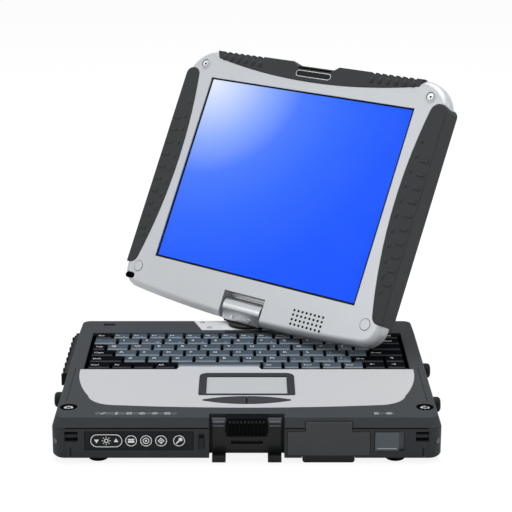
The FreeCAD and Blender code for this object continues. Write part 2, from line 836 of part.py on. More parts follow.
def bottom_case():
    shell = case_prism(0.0, d.foot_height, d.split_height)
    soften(shell, "Chamfer", d.under_chamfer, d.foot_height)
    hollow = case_prism(d.case_wall, FLOOR, d.split_height + PAST)
    tall = (FLOOR, d.split_height)
    kept = [block(across(d.bay_half_width + d.bay_wall), (FRONT, BAY_BACK + d.bay_wall), tall)]
    for side in (-1, 1):
        strap = outward(side, STRAP_INNER - d.case_wall, SIDE)
        kept.append(block(strap, (FRONT, FRONT + d.strap_deep + d.case_wall), tall))
    for name, side, front, rear in COVERS:
        pad_x = outward(side, COVER_BACK - d.case_wall, SIDE)
        pad_y = (front - d.cover_pad, rear + d.cover_pad)
        kept.append(block(pad_x, pad_y, (d.cover_low - d.cover_pad, d.split_height)))
    front_screws, rear_screws = screw_points()
    for point in front_screws + rear_screws:
        kept.append(rod(d.boss_radius, "z", point, tall))
    for point in standoff_points():
        kept.append(rod(d.standoff_radius, "z", point, (FLOOR, d.board_low)))
    for point in door_screw_points():
        kept.append(rod(d.door_boss_radius, "z", point, (FLOOR, d.memory_socket_low - d.moving_gap)))
    tools = [cut(hollow, *kept)]
    through = (FRONT - PAST, INNER_FRONT + PAST)
    tools.append(block(across(d.bay_half_width), (FRONT - PAST, BAY_BACK), (0.0, d.split_height + PAST)))
    battery = (BATTERY_LEFT - d.moving_gap, BATTERY_RIGHT + d.moving_gap)
    tools.append(block(battery, through, (FLOOR, d.battery_top + d.moving_gap)))
    head = about(BATTERY_MIDDLE, d.battery_head_half + d.moving_gap)
    head_room = FRONT + d.battery_head_thick + PAST
    tools.append(block(head, (FRONT - PAST, head_room), (FLOOR, d.split_height + PAST)))
    tab = about(BATTERY_MIDDLE, d.tab_half + d.moving_gap)
    tools.append(block(tab, (FRONT - PAST, FRONT + d.tab_thick + d.moving_gap), (0.0, FLOOR + PAST)))
    tools.append(block((PANEL_LEFT, PANEL_RIGHT), through, (d.panel_low, d.panel_high)))
    window = (d.knob_window_low, d.knob_window_high)
    tools.append(block((KNOB_LEFT, KNOB_RIGHT), through, window))
    tools.append(block((SWITCH_LEFT, SWITCH_RIGHT), through, (d.switch_low, d.switch_high)))
    bar_z = (d.strap_low + d.strap_high) / 2
    for side in (-1, 1):
        pocket = block(
            outward(side, STRAP_INNER, STRAP_OUTER),
            (FRONT - PAST, FRONT + d.strap_deep),
            (d.strap_low, d.strap_high),
        )
        bar_y = FRONT + d.strap_bar_inset
        bar = rod(
            d.strap_bar_radius,
            "x",
            (bar_y, bar_z),
            outward(side, STRAP_INNER - PAST, STRAP_OUTER + PAST),
        )
        tools.append(cut(pocket, bar))
        groove = about(side * (SIDE - d.notch_side_inset), d.notch_width / 2)
        tools.append(block(groove, (FRONT - PAST, FRONT + d.case_wall / 2), (d.notch_low, d.notch_high)))
    tools += cover_recess_tools()
    inlet = (SIDE - d.connector_deep, SIDE + PAST)
    inlet_z = BOARD_TOP + d.seat_gap + d.power_inlet_radius
    tools.append(rod(d.power_inlet_radius + d.seat_gap, "x", (POWER_INLET_Y, inlet_z), inlet))
    lock = about(SIDE - d.lock_slot_inset, d.lock_slot_width / 2)
    lock_z = about((d.foot_height + d.split_height) / 2, d.lock_slot_height / 2)
    tools.append(block(lock, (REAR - d.case_wall - PAST, REAR + PAST), lock_z))
    lip = memory_door_span(d.door_margin)
    tools.append(block(*lip, (0.0, d.foot_height + d.door_thick)))
    opening = memory_door_span(d.door_margin - d.door_lip)
    posts = [rod(d.door_boss_radius, "z", point, (0.0, FLOOR + PAST)) for point in door_screw_points()]
    tools.append(cut(block(*opening, (0.0, FLOOR + PAST)), *posts))
    for x, y in foot_points():
        tools.append(rod(d.foot_stem_radius + d.seat_gap, "z", (x, y), (0.0, FLOOR + PAST)))
    hole = d.screw_radius + d.running_gap
    for point in front_screws:
        tools.append(rod(hole, "z", point, (d.split_height - d.screw_depth, d.split_height + PAST)))
    for point in rear_screws:
        tools.append(rod(hole, "z", point, (0.0, d.split_height + PAST)))
        head = d.screw_head_radius + d.seat_gap
        tools.append(rod(head, "z", point, (0.0, d.foot_height + d.screw_head_height)))
    for point in door_screw_points():
        tools.append(rod(hole, "z", point, (0.0, d.memory_socket_low)))
    return cut(shell, *tools)


def foot_points():
    foot_x = SIDE - d.foot_side_inset
    ends = (FRONT + d.foot_front_inset, REAR - d.foot_rear_inset)
    return [(side * foot_x, y) for side in (-1, 1) for y in ends]


def palm_outline(clearance):
    """Brushed panel: a straight rear edge with a tab in front of the space bar, and a bowed front."""
    half = PALM_HALF + clearance
    rear = PALM_REAR + clearance
    side = (half - d.palm_side_taper, FRONT + d.palm_side_front - clearance)
    corner = (half - d.palm_corner_taper, FRONT + d.palm_corner_front - clearance)
    space_left, space_width, space_front, space_depth = SPACE_BAR
    inset = d.palm_tab_inset - clearance
    tab_left, tab_right = space_left + inset, space_left + space_width - inset
    tab_rear = space_front - d.palm_tab_gap
    return [
        (-corner[0], corner[1], d.palm_front_radius),
        corner + (d.palm_corner_radius,),
        side + (d.palm_side_radius,),
        (half, rear),
        (tab_right, rear),
        (tab_right - d.palm_tab_slant, tab_rear),
        (tab_left + d.palm_tab_slant, tab_rear),
        (tab_left, rear),
        (-half, rear, d.palm_side_radius),
        (-side[0], side[1], d.palm_corner_radius),
    ]


def surround_outline(clearance):
    half = d.surround_half + clearance
    front, rear = SURROUND_FRONT - clearance, SURROUND_REAR + clearance
    radius = d.surround_corner
    return [
        (-half, front),
        (half, front),
        (half, rear - radius, radius),
        (half - radius, rear),
        (radius - half, rear, radius),
        (-half, rear - radius),
    ]


def bar_bow(clearance):
    """Half length, half depth and edge radius of the lens-shaped bar under the touchpad."""
    half, rise = d.bar_half + clearance, d.bar_half_depth + clearance
    return half, rise, (half * half + rise * rise) / (rise * 2)


def bar_lift(clearance, x):
    """Half depth of the bar at a distance from its middle."""
    half, rise, bow = bar_bow(clearance)
    return rise - bow + root(bow * bow - x * x)


def bar_opening_outline():
    """The whole lens with blunt tips, grown so that both buttons move freely in it."""
    half, rise, bow = bar_bow(d.moving_gap)
    tip = half - d.bar_round
    low, high = about(BAR_MIDDLE, bar_lift(d.moving_gap, tip))
    return [(-tip, low, bow), (tip, low), (tip, high, bow), (-tip, high)]


def button_outline(side):
    """One half of the lens, from the split in the middle to its blunt tip."""
    half, rise, bow = bar_bow(0.0)
    inner, tip = d.bar_split / 2, half - d.bar_round
    near_low, near_high = about(BAR_MIDDLE, bar_lift(0.0, inner))
    tip_low, tip_high = about(BAR_MIDDLE, bar_lift(0.0, tip))
    outline = [(inner, near_low, bow), (tip, tip_low), (tip, tip_high, bow), (inner, near_high)]
    return outline if side > 0 else mirrored(outline)


def swivel_plate_outline(clearance):
    rear = REAR - d.swivel_plate_rear_inset + clearance
    front = rear - d.swivel_plate_depth - clearance * 2
    rear_half, front_half = d.swivel_plate_rear_half + clearance, d.swivel_plate_front_half + clearance
    return [(-front_half, front), (front_half, front), (rear_half, rear), (-rear_half, rear)]


def lock_bar_recess():
    left, right = d.lock_bar_left - d.moving_gap, d.lock_bar_right + d.lock_bar_travel + d.moving_gap
    deep = (LOCK_BAR_FRONT - d.moving_gap, LOCK_BAR_FRONT + d.lock_bar_depth + d.moving_gap)
    floor = d.lock_bar_top - d.lock_bar_thick - d.moving_gap
    recess = block((left, right), deep, (floor, d.deck_height + PAST))
    middle = LOCK_BAR_FRONT + d.lock_bar_depth / 2
    slot = block(
        (d.lock_tongue_left - d.moving_gap, d.lock_tongue_right + d.lock_bar_travel + d.moving_gap),
        about(middle, d.lock_tongue_depth / 2 + d.moving_gap),
        (UNDER_DECK - PAST, d.deck_height),
    )
    return [recess, slot]


def top_cover():
    shell = case_prism(0.0, d.split_height, d.deck_height, d.deck_slope)
    hollow = case_prism(d.deck_rim, d.split_height - PAST, UNDER_DECK)
    tall = (d.split_height - PAST, UNDER_DECK)
    kept = [block(across(d.bay_half_width + d.bay_wall), (FRONT, BAY_BACK + d.bay_wall), tall)]
    front_screws, rear_screws = screw_points()
    for point in front_screws + rear_screws:
        kept.append(rod(d.boss_radius, "z", point, tall))
    tools = [cut(hollow, *kept)]
    above = (UNDER_DECK - PAST, d.deck_height + PAST)
    bay_tall = (d.split_height - PAST, d.deck_height + PAST)
    tools.append(block(across(d.bay_half_width), (FRONT - PAST, BAY_BACK), bay_tall))
    tools.append(block(across(WELL_HALF), (WELL_FRONT, WELL_REAR), above))
    tools.append(prism(palm_outline(d.seat_gap), d.deck_height - d.palm_thick, d.deck_height + PAST))
    tools.append(prism(bar_opening_outline(), *above))
    head = about(BATTERY_MIDDLE, d.battery_head_half + d.moving_gap)
    head_room = FRONT + d.battery_head_thick + d.deck_rim
    head_top = d.battery_head_top + d.moving_gap
    tools.append(block(head, (FRONT - PAST, head_room), (d.split_height - PAST, head_top)))
    hole = d.screw_radius + d.running_gap
    for point in front_screws:
        tools.append(rod(hole, "z", point, (d.split_height - PAST, d.deck_height + PAST)))
        cup = (d.deck_height - d.deck_cup_depth, d.deck_height + PAST)
        tools.append(rod(d.deck_cup_radius, "z", point, cup))
    for point in rear_screws:
        tools.append(rod(hole, "z", point, (d.split_height - PAST, UNDER_DECK)))
    for span in status_spans():
        status_tall = (d.deck_height - d.status_thick, above[1])
        tools.append(block(span, about(STATUS_Y, d.status_half), status_tall))
    for side in (-1, 1):
        line = about(side * (SIDE - d.line_side_inset), d.line_width / 2)
        line_y = (FRONT + d.line_front_inset, KEYS_FRONT)
        tools.append(block(line, line_y, (d.deck_height - d.line_depth, above[1])))
    dimple_x = about(d.dimple_side_inset - SIDE, d.dimple_half_width)
    dimple_y = about(REAR - d.dimple_rear_inset, d.dimple_half_depth)
    tools.append(block(dimple_x, dimple_y, (d.deck_height - d.dimple_depth, above[1])))
    seat = d.deck_height + d.swivel_plate_proud - d.swivel_plate_thick
    tools.append(prism(swivel_plate_outline(d.seat_gap), seat, d.deck_height + PAST))
    tools.append(rod(d.swivel_boss_radius + d.seat_gap, "z", (0.0, SWIVEL_Y), bay_tall))
    tools += lock_bar_recess()
    return cut(shell, *tools)


def status_spans():
    left = d.status_side_inset - SIDE
    right = SIDE - d.status_pair_inset
    return [(left, left + d.status_width), (right - d.status_pair_width, right)]


def status_windows():
    members = []
    for left, right in status_spans():
        x, y = (left + d.seat_gap, right - d.seat_gap), about(STATUS_Y, d.status_half - d.seat_gap)
        members.append(block(x, y, (d.deck_height - d.status_thick, d.deck_height)))
    return group(members)


def palm_rest():
    panel = prism(palm_outline(0.0), d.deck_height - d.palm_thick, d.deck_height)
    through = (d.deck_height - d.palm_thick - PAST, d.deck_height + PAST)
    return cut(panel, prism(surround_outline(d.seat_gap), *through), prism(bar_opening_outline(), *through))


def touchpad_surround():
    low = d.deck_height - d.palm_thick
    frame = prism(surround_outline(0.0), low, d.deck_height + d.surround_proud)
    window = block(
        across(PAD_HALF + d.seat_gap),
        (SURROUND_FRONT - PAST, PAD_REAR + d.seat_gap),
        (low - PAST, d.deck_height + d.surround_proud + PAST),
    )
    return cut(frame, window)


def touchpad():
    tall = (d.deck_height - d.palm_thick, d.deck_height - d.pad_sunk)
    return block(across(PAD_HALF), (SURROUND_FRONT, PAD_REAR), tall)


def touchpad_button(side):
    """Half of the bar, held under the deck by a flange."""
    flange_high = UNDER_DECK - d.moving_gap
    top = prism(button_outline(side), flange_high - d.flange_thick, d.deck_height + d.bar_proud)
    reach = outward(side, d.bar_split / 2, d.bar_half + d.bar_flange)
    depth = about(BAR_MIDDLE, d.bar_half_depth + d.bar_flange)
    return join(top, block(reach, depth, (flange_high - d.flange_thick, flange_high)))


# Keyboard
def key(left, width, front, depth):
    """One cap with sloping sides on a plunger that runs in the tray."""
    base_x = (left + d.key_space / 2, left + width - d.key_space / 2)
    base_y = (front, front + depth)
    cap = doc.addObject("Part::Wedge", "Cap")
    cap.Placement = FreeCAD.Placement(FreeCAD.Vector(), FreeCAD.Rotation(FreeCAD.Vector(1, 0, 0), 90))
    sizes = {
        "Xmin": base_x[0],
        "Xmax": base_x[1],
        "X2min": base_x[0] + d.key_side_slope,
        "X2max": base_x[1] - d.key_side_slope,
        "Ymin": d.key_top - d.key_tall,
        "Ymax": d.key_top,
        "Zmin": -base_y[1],
        "Zmax": -base_y[0],
        "Z2min": d.key_rear_slope - base_y[1],
        "Z2max": -base_y[0] - d.key_front_slope,
    }
    for prop, size in sizes.items():
        bind(cap, prop, size)
    low = d.key_top - d.key_tall
    middle = key_middle(left, width, front, depth)
    plunger = rod(d.plunger_radius, "z", middle, (low - d.plunger_reach, low + PAST))
    return join(cap, plunger)


def key_middle(left, width, front, depth):
    return (left + width / 2, front + depth / 2)


def keyboard_tray():
    """A pan hung under the deck, with a hole for each plunger."""
    x = across(WELL_HALF + d.tray_rim)
    y = (WELL_FRONT - d.tray_rim, WELL_REAR + d.tray_rim / 2)
    pan = block(x, y, (d.tray_bottom, UNDER_DECK))
    floor = d.tray_bottom + d.tray_thick
    inside_y = (WELL_FRONT, WELL_REAR - d.tray_rim / 2)
    inside = block(across(WELL_HALF), inside_y, (floor, UNDER_DECK + PAST))
    holes = []
    for place in [place for keys in KEY_ROWS for place in keys] + [SPACE_BAR]:
        middle = key_middle(*place)
        holes.append(rod(d.plunger_radius + d.moving_gap, "z", middle, (d.tray_bottom - PAST, floor + PAST)))
    return cut(cut(pan, inside), group(holes))


# Front of the base
def front_button_panel():
    face = FRONT + d.panel_set_back
    back = INNER_FRONT + d.flange_thick
    x = (PANEL_LEFT + d.seat_gap, PANEL_RIGHT - d.seat_gap)
    z = (d.panel_low + d.seat_gap, d.panel_high - d.seat_gap)
    plate = block(x, (face, back), z)
    flange = block(
        (PANEL_LEFT - d.panel_flange, PANEL_RIGHT + d.panel_flange),
        (INNER_FRONT, back),
        (d.panel_low - d.panel_flange, d.panel_high + d.panel_flange),
    )
    through = (face - PAST, back + PAST)
    tools = [rocker_shape(d.moving_gap, through)]
    for place in button_places():
        tools.append(rod(BUTTON_RADIUS + d.moving_gap, "y", (place, d.button_height), through))
    return cut(join(plate, flange), *tools)


def button_places():
    near_rocker = [FIRST_BUTTON + BUTTON_PITCH * number for number in range(ROUND_BUTTONS - 1)]
    return near_rocker + [LAST_BUTTON]


def rocker_shape(clearance, span):
    """A pill lying along X."""
    radius = d.rocker_tall / 2 + clearance
    middles = (ROCKER_LEFT + d.rocker_tall / 2, ROCKER_RIGHT - d.rocker_tall / 2)
    ends = [rod(radius, "y", (middle, d.button_height), span) for middle in middles]
    return join(block(middles, span, about(d.button_height, radius)), *ends)


def front_button(x):
    """A round button with a retaining flange behind the panel."""
    behind = INNER_FRONT + d.flange_thick + d.moving_gap
    face = FRONT + d.panel_set_back - d.button_proud
    cap = rod(BUTTON_RADIUS, "y", (x, d.button_height), (face, behind + PAST))
    flange_radius = (BUTTON_PITCH - d.button_flange_space) / 2
    flange = rod(flange_radius, "y", (x, d.button_height), (behind, behind + d.flange_thick))
    return join(cap, flange)


def brightness_rocker():
    """A pill that rocks on an upright pin behind the panel."""
    pin_y = INNER_FRONT + d.flange_thick + d.moving_gap + d.rocker_pin_radius
    cap = rocker_shape(0.0, (FRONT + d.panel_set_back - d.button_proud, pin_y))
    pin_z = about(d.button_height, d.rocker_tall / 2 + d.panel_flange)
    return join(cap, rod(d.rocker_pin_radius, "z", (ROCKER_MIDDLE, pin_y), pin_z))


def slide_switch():
    flange_front = INNER_FRONT + d.moving_gap
    x = (SWITCH_LEFT + d.moving_gap, SWITCH_RIGHT - d.moving_gap)
    low = d.switch_low + d.moving_gap
    knob = block(x, (FRONT - d.switch_proud, flange_front + PAST), (low, low + d.switch_knob))
    travel = d.switch_high - d.switch_low - d.switch_knob - d.moving_gap * 2
    flange = block(
        (SWITCH_LEFT - d.flange_thick, SWITCH_RIGHT + d.flange_thick),
        (flange_front, flange_front + d.flange_thick),
        (d.switch_low - travel, d.switch_high + d.moving_gap),
    )
    return join(knob, flange)


def battery_latch():
    flange_front = INNER_FRONT + d.moving_gap
    left = KNOB_LEFT + d.moving_gap
    low, high = d.knob_window_low + d.moving_gap, d.knob_window_high - d.moving_gap
    knob = block((left, left + d.knob_width), (FRONT - d.knob_proud, flange_front + PAST), (low, high))
    flange_right = STRAP_INNER - d.case_wall - d.moving_gap - d.knob_travel
    flange = block(
        (BATTERY_RIGHT + d.moving_gap * 2, flange_right),
        (flange_front, flange_front + d.flange_thick),
        (d.knob_window_low - d.flange_thick, d.knob_window_high + d.flange_thick),
    )
    return join(knob, flange)


def battery_pack():
    low = FLOOR + d.moving_gap
    body = block((BATTERY_LEFT, BATTERY_RIGHT), (FRONT, FRONT + d.battery_length), (low, d.battery_top))
    head = block(
        about(BATTERY_MIDDLE, d.battery_head_half),
        (FRONT, FRONT + d.battery_head_thick),
        (low, d.battery_head_top),
    )
    return join(body, head)


def battery_pull_tab():
    """A lip under the pack's face, with rounded lower corners."""
    top = FLOOR + d.moving_gap
    outline = rounded(about(BATTERY_MIDDLE, d.tab_half), (d.tab_low, top + d.case_wall), d.case_wall)
    tab = prism(outline, 0.0, d.tab_thick)
    tab.Placement = FreeCAD.Placement(FreeCAD.Vector(), TURNED["y"].inverted())
    bind(tab, "Placement.Base.y", FRONT + d.tab_thick)
    above_x = about(BATTERY_MIDDLE, d.tab_half + PAST)
    above_y = (FRONT - PAST, FRONT + d.tab_thick + PAST)
    return cut(tab, block(above_x, above_y, (top, top + d.case_wall + PAST)))


def display_latch():
    """Two arms on one pin, joined by a finger plate, with claws that hook over the closed display."""
    pivot_y = LATCH_PIN_Y
    pivot = (pivot_y, d.latch_pin_height)
    arm_y = (pivot_y + d.latch_arm_offset, pivot_y + d.latch_arm_offset + d.latch_arm_thick)
    members = []
    for side in (-1, 1):
        x = outward(side, d.latch_arm_inner, d.latch_arm_outer)
        members.append(rod(d.latch_knuckle, "x", pivot, x))
        neck_low = d.latch_pin_height - d.latch_knuckle
        members.append(block(x, (pivot_y, arm_y[1]), (neck_low, d.latch_pin_height)))
        members.append(block(x, arm_y, (d.latch_claw_low, d.latch_pin_height)))
        claw = (pivot_y - d.latch_claw_reach, arm_y[1])
        members.append(block(x, claw, (d.latch_claw_low, d.latch_claw_low + d.latch_claw_height)))
    members.append(block(across(d.latch_arm_outer), arm_y, (d.latch_plate_low, d.latch_plate_high)))
    through = (arm_y[0] - PAST, arm_y[1] + PAST)
    slot_z = (d.latch_plate_low + d.latch_plate_high) / 2
    slot = block(across(d.latch_slot_half), through, about(slot_z, d.latch_slot_height / 2))
    bore = rod(d.latch_pin_radius + d.running_gap, "x", pivot, across(d.latch_arm_outer + PAST))
    return cut(join(*members), slot, bore)


def latch_block():
    """Ribbed block between the latch arms."""
    face = FRONT + d.latch_block_front
    wide = across(d.latch_block_half)
    body = block(wide, (face, BAY_BACK), (d.latch_block_low, d.deck_height - d.moving_gap))
    pin_place = (LATCH_PIN_Y, d.latch_pin_height)
    tools = [rod(d.latch_pin_radius + d.running_gap, "x", pin_place, wide)]
    count = int(d.latch_block_half.value * 2 / d.latch_rib_pitch.value)
    for number in range(count):
        middle = d.latch_rib_pitch * (number - (count - 1) / 2)
        groove = about(middle, (d.latch_rib_pitch - d.latch_rib_width) / 2)
        high = d.latch_pin_height + d.latch_knuckle
        tools.append(block(groove, (face - PAST, face + d.latch_rib_depth), (d.latch_block_low + PAST, high)))
    return cut(body, *tools)


def side_cover(name, side, front, rear):
    """A hinged cover: plate, round knuckle along its lower edge with a pin at each end, bulge outside."""
    inner, pivot = COVER_BACK + d.moving_gap, (side * COVER_PIVOT_X, COVER_PIVOT_Z)
    members = [block(outward(side, inner, SIDE), (front, rear), (COVER_PIVOT_Z, d.cover_high))]
    members.append(rod((d.cover_recess - d.moving_gap) / 2, "y", pivot, (front, rear)))
    members.append(rod(d.cover_pin_radius, "y", pivot, (front - d.cover_pin_reach, rear + d.cover_pin_reach)))
    low = COVER_PIVOT_Z + d.ribbed_cover_lift
    if name == "left_ribbed_cover":
        thick = outward(side, SIDE - PAST, SIDE + d.ribbed_cover_proud)
        members.append(block(thick, (front, rear), (low, d.cover_high)))
        count = int((rear - front).value / d.rib_pitch.value)
        for number in range(count):
            middle = front + d.rib_pitch * (number + 0.5)
            reach = SIDE + d.ribbed_cover_proud + d.rib_proud
            rib_y = about(middle, d.rib_width / 2)
            members.append(block(outward(side, SIDE, reach), rib_y, (low, d.cover_high)))
        return join(*members)
    dome = rod(d.round_cover_radius, "x", ((front + rear) / 2, d.cover_high - d.round_cover_radius),
               outward(side, SIDE - PAST, SIDE + d.round_cover_proud))
    round_edge = doc.addObject("Part::Fillet", "Round")
    round_edge.Base = dome
    doc.recompute()
    far = side * (SIDE + d.round_cover_proud).value
    picked = []
    for number, edge in enumerate(dome.Shape.Edges, start=1):
        box = edge.BoundBox
        if abs(box.XMin - far) < 1e-4 and abs(box.XMax - far) < 1e-4:
            picked.append((number, d.round_cover_edge.value, d.round_cover_edge.value))
    round_edge.Edges = picked
    return join(*members, round_edge)


# Inside the base
def motherboard():
    outline = [
        (-BOARD_SIDE, BOARD_WING_FRONT),
        (d.board_wing_width - BOARD_SIDE, BOARD_WING_FRONT),
        (d.board_wing_width - BOARD_SIDE, BOARD_FRONT),
        (BOARD_STEP_X, BOARD_FRONT),
        (BOARD_STEP_X, BOARD_STEP_Y),
        (BOARD_RIGHT_WING, BOARD_STEP_Y),
        (BOARD_RIGHT_WING, BOARD_WING_FRONT),
        (BOARD_SIDE, BOARD_WING_FRONT),
        (BOARD_SIDE, BOARD_REAR),
        (-BOARD_SIDE, BOARD_REAR),
    ]
    board = prism(outline, d.board_low, BOARD_TOP)
    front_screws, rear_screws = screw_points()
    through = (d.board_low - PAST, BOARD_TOP + PAST)
    holes = [rod(d.boss_radius + d.moving_gap, "z", point, through) for point in rear_screws]
    return cut(board, *holes)


def heat_spreader():
    low = BOARD_TOP + d.seat_gap
    x, y = (d.spreader_left, d.spreader_right), (BOARD_FRONT + d.spreader_front_gap, d.spreader_rear)
    members = [block(x, y, (low, low + d.spreader_base))]
    count = int((d.spreader_right - d.spreader_left).value / d.spreader_fin_pitch.value)
    for number in range(count):
        middle = d.spreader_left + d.spreader_fin_pitch * (number + 0.5)
        high = low + d.spreader_base + d.spreader_fin
        members.append(block(about(middle, d.spreader_fin_width / 2), y, (low, high)))
    return join(*members)


def memory_module():
    x = (d.memory_left, d.memory_left + d.memory_width)
    rear = d.memory_front + d.memory_depth
    strip = block(x, (d.memory_front, rear), (d.memory_low, d.memory_low + d.memory_thick))
    socket = block(x, (rear - d.memory_socket_depth, rear), (d.memory_socket_low, d.board_low - d.seat_gap))
    return join(strip, socket)


def hard_drive():
    x = (DRIVE_LEFT, DRIVE_LEFT + d.drive_width)
    y = (DRIVE_FRONT, DRIVE_FRONT + d.drive_length)
    low = FLOOR + d.seat_gap
    return prism(rounded(x, y, d.case_wall), low, low + d.drive_thick)


def memory_door():
    x, y = memory_door_span(d.door_margin - d.seat_gap)
    door = prism(rounded(x, y, d.seat_gap * 4), d.foot_height, d.foot_height + d.door_thick)
    through = (d.foot_height - PAST, d.foot_height + d.door_thick + PAST)
    hole = d.screw_radius + d.running_gap
    return cut(door, *[rod(hole, "z", point, through) for point in door_screw_points()])


def port_connectors():
    members = [block(*connector_span(*connector, 0.0)) for connector in CONNECTORS]
    inlet_z = BOARD_TOP + d.seat_gap + d.power_inlet_radius
    place = (POWER_INLET_Y, inlet_z)
    mouth = SIDE - d.moving_gap
    barrel = rod(d.power_inlet_radius, "x", place, (SIDE - d.connector_deep, mouth))
    bore = rod(d.power_inlet_bore, "x", place, (mouth - d.power_inlet_deep, mouth + PAST))
    pin = rod(d.power_inlet_pin, "x", place, (mouth - d.power_inlet_deep - PAST, mouth - PAST))
    members.append(join(cut(barrel, bore), pin))
    return group(members)


def screw(point, head_low, head_high, tip, upward):
    """A pan screw on an upright axis; upward is true when its head is at the lower end."""
    shank = (head_high, tip) if upward else (tip, head_low)
    head = rod(d.screw_head_radius, "z", point, (head_low, head_high))
    return join(head, rod(d.screw_radius, "z", point, shank))


def deck_screws():
    front_screws, rear_screws = screw_points()
    low = d.deck_height - d.deck_cup_depth
    tip = d.split_height - d.screw_depth + PAST
    return group([screw(point, low, low + d.screw_head_height, tip, False) for point in front_screws])


def case_screws():
    front_screws, rear_screws = screw_points()
    members = []
    for point in rear_screws:
        high = d.foot_height + d.screw_head_height
        members.append(screw(point, d.foot_height, high, UNDER_DECK - PAST, True))
    for point in door_screw_points():
        low = d.foot_height - d.screw_head_height
        members.append(screw(point, low, d.foot_height, d.memory_socket_low - PAST, True))
    return group(members)


def feet():
    members = []
    for point in foot_points():
        x, y = point
        disc = prism(circle_outline(x, y, d.foot_radius), 0.0, d.foot_height)
        soften(disc, "Fillet", d.foot_round, 0.0)
        members.append(join(disc, rod(d.foot_stem_radius, "z", point, (d.foot_height - PAST, FLOOR))))
    return group(members)


def circle_outline(x, y, radius):
    """A circle as four quarter arcs."""
    return [
        (x + radius, y, radius),
        (x, y + radius, radius),
        (x - radius, y, radius),
        (x, y - radius, radius),
    ]


# Swivel: x along the tilt axis, y to the back of the display, z up, about the swivel's middle
def on_swivel(member):
    item = group([member])
    turn = FreeCAD.Rotation(FreeCAD.Vector(0, 0, 1), -d.swivel_rest.value)
    item.Placement = FreeCAD.Placement(FreeCAD.Vector(0, SWIVEL_Y.value, 0), turn)
    return item


def swivel_plate():
    top = d.deck_height + d.swivel_plate_proud
    plate = prism(swivel_plate_outline(0.0), top - d.swivel_plate_thick, top)
    middle = (0.0, SWIVEL_Y)
    boss = rod(d.swivel_boss_radius, "z", middle, (d.swivel_boss_low, top))
    bore = rod(d.swivel_shaft_radius + d.running_gap, "z", middle, (d.swivel_boss_low - PAST, top + PAST))
    return cut(join(plate, boss), bore)


DISC_LOW = d.deck_height + d.swivel_plate_proud + d.moving_gap
DISC_TOP = DISC_LOW + d.turret_disc_thick
CORE_LOW = d.lock_bar_top + d.moving_gap
BARREL_LOW = DISC_TOP + d.barrel_lift
TILT_HEIGHT = BARREL_LOW + d.barrel_leg + d.barrel_radius


def swivel_turret():
    """A disc on the deck that carries the core of the tilt hinge."""
    disc = rod(d.turret_radius, "z", (0.0, 0.0), (DISC_LOW, DISC_TOP))
    core = block(across(d.barrel_half), across(d.turret_core_half), (CORE_LOW, TILT_HEIGHT))
    crown = rod(d.turret_core_half, "x", (0.0, TILT_HEIGHT), across(d.barrel_half))
    bore = rod(d.tilt_shaft_radius, "x", (0.0, TILT_HEIGHT), across(d.barrel_half + PAST))
    return cut(join(disc, core, crown), bore, *hinge_screw_rods(d.hinge_screw_shank))


def swivel_shaft():
    """A hollow shaft under the turret; its collar holds the turret down on the swivel plate."""
    shaft = rod(d.swivel_shaft_radius, "z", (0.0, 0.0), (d.swivel_shaft_low, DISC_LOW))
    collar_high = d.swivel_boss_low - d.moving_gap
    collar = rod(d.swivel_collar_radius, "z", (0.0, 0.0), (collar_high - d.swivel_collar_thick, collar_high))
    bore = rod(d.swivel_shaft_bore, "z", (0.0, 0.0), (d.swivel_shaft_low - PAST, DISC_LOW + PAST))
    return cut(join(shaft, collar), bore)


def hinge_screw_rods(radius):
    height = TILT_HEIGHT - d.hinge_screw_drop
    span = (-d.barrel_radius - d.hinge_screw_proud, -d.turret_core_half / 2)
    return [rod(radius, "y", (side * d.hinge_screw_x, height), span) for side in (-1, 1)]


def hinge_barrel():
    """Silver sleeve over the core: round above the tilt axis, straight below it."""
    low = BARREL_LOW
    round_part = rod(d.barrel_radius, "x", (0.0, TILT_HEIGHT), across(d.barrel_half))
    legs = block(across(d.barrel_half), across(d.barrel_radius), (low, TILT_HEIGHT))
    past = across(d.barrel_half + PAST)
    core = block(past, across(d.turret_core_half), (low - PAST, TILT_HEIGHT))
    crown = rod(d.turret_core_half, "x", (0.0, TILT_HEIGHT), past)
    return cut(join(round_part, legs), core, crown, *hinge_screw_rods(d.hinge_screw_shank))


def hinge_screws():
    members = []
    height = TILT_HEIGHT - d.hinge_screw_drop
    head = (-d.barrel_radius - d.hinge_screw_proud, -d.barrel_radius)
    for side, shank in zip((-1, 1), hinge_screw_rods(d.hinge_screw_shank)):
        members.append(join(rod(d.hinge_screw_head, "y", (side * d.hinge_screw_x, height), head), shank))
    return group(members)


def tilt_shaft():
    return rod(d.tilt_shaft_radius, "x", (0.0, TILT_HEIGHT), across(d.tilt_shaft_half))


def lock_bar():
    """Low bar in front of the turret that frees the swivel; its tongue runs in a slot in the deck."""
    depth = (LOCK_BAR_FRONT, LOCK_BAR_FRONT + d.lock_bar_depth)
    low = d.lock_bar_top - d.lock_bar_thick
    handle = block((d.lock_bar_left, d.lock_bar_right), depth, (low, d.lock_bar_top))
    middle = LOCK_BAR_FRONT + d.lock_bar_depth / 2
    high = UNDER_DECK - d.moving_gap
    tongue_x = (d.lock_tongue_left, d.lock_tongue_right)
    tongue_y = about(middle, d.lock_tongue_depth / 2)
    tongue = block(tongue_x, tongue_y, (high - PAST, low + d.lock_bar_thick / 2))
    flange_x = (d.lock_tongue_left - d.lock_flange_side, d.lock_tongue_right + d.lock_flange_side)
    flange = block(flange_x, about(middle, d.lock_flange_depth / 2), (high - d.flange_thick, high))
    return join(handle, tongue, flange)


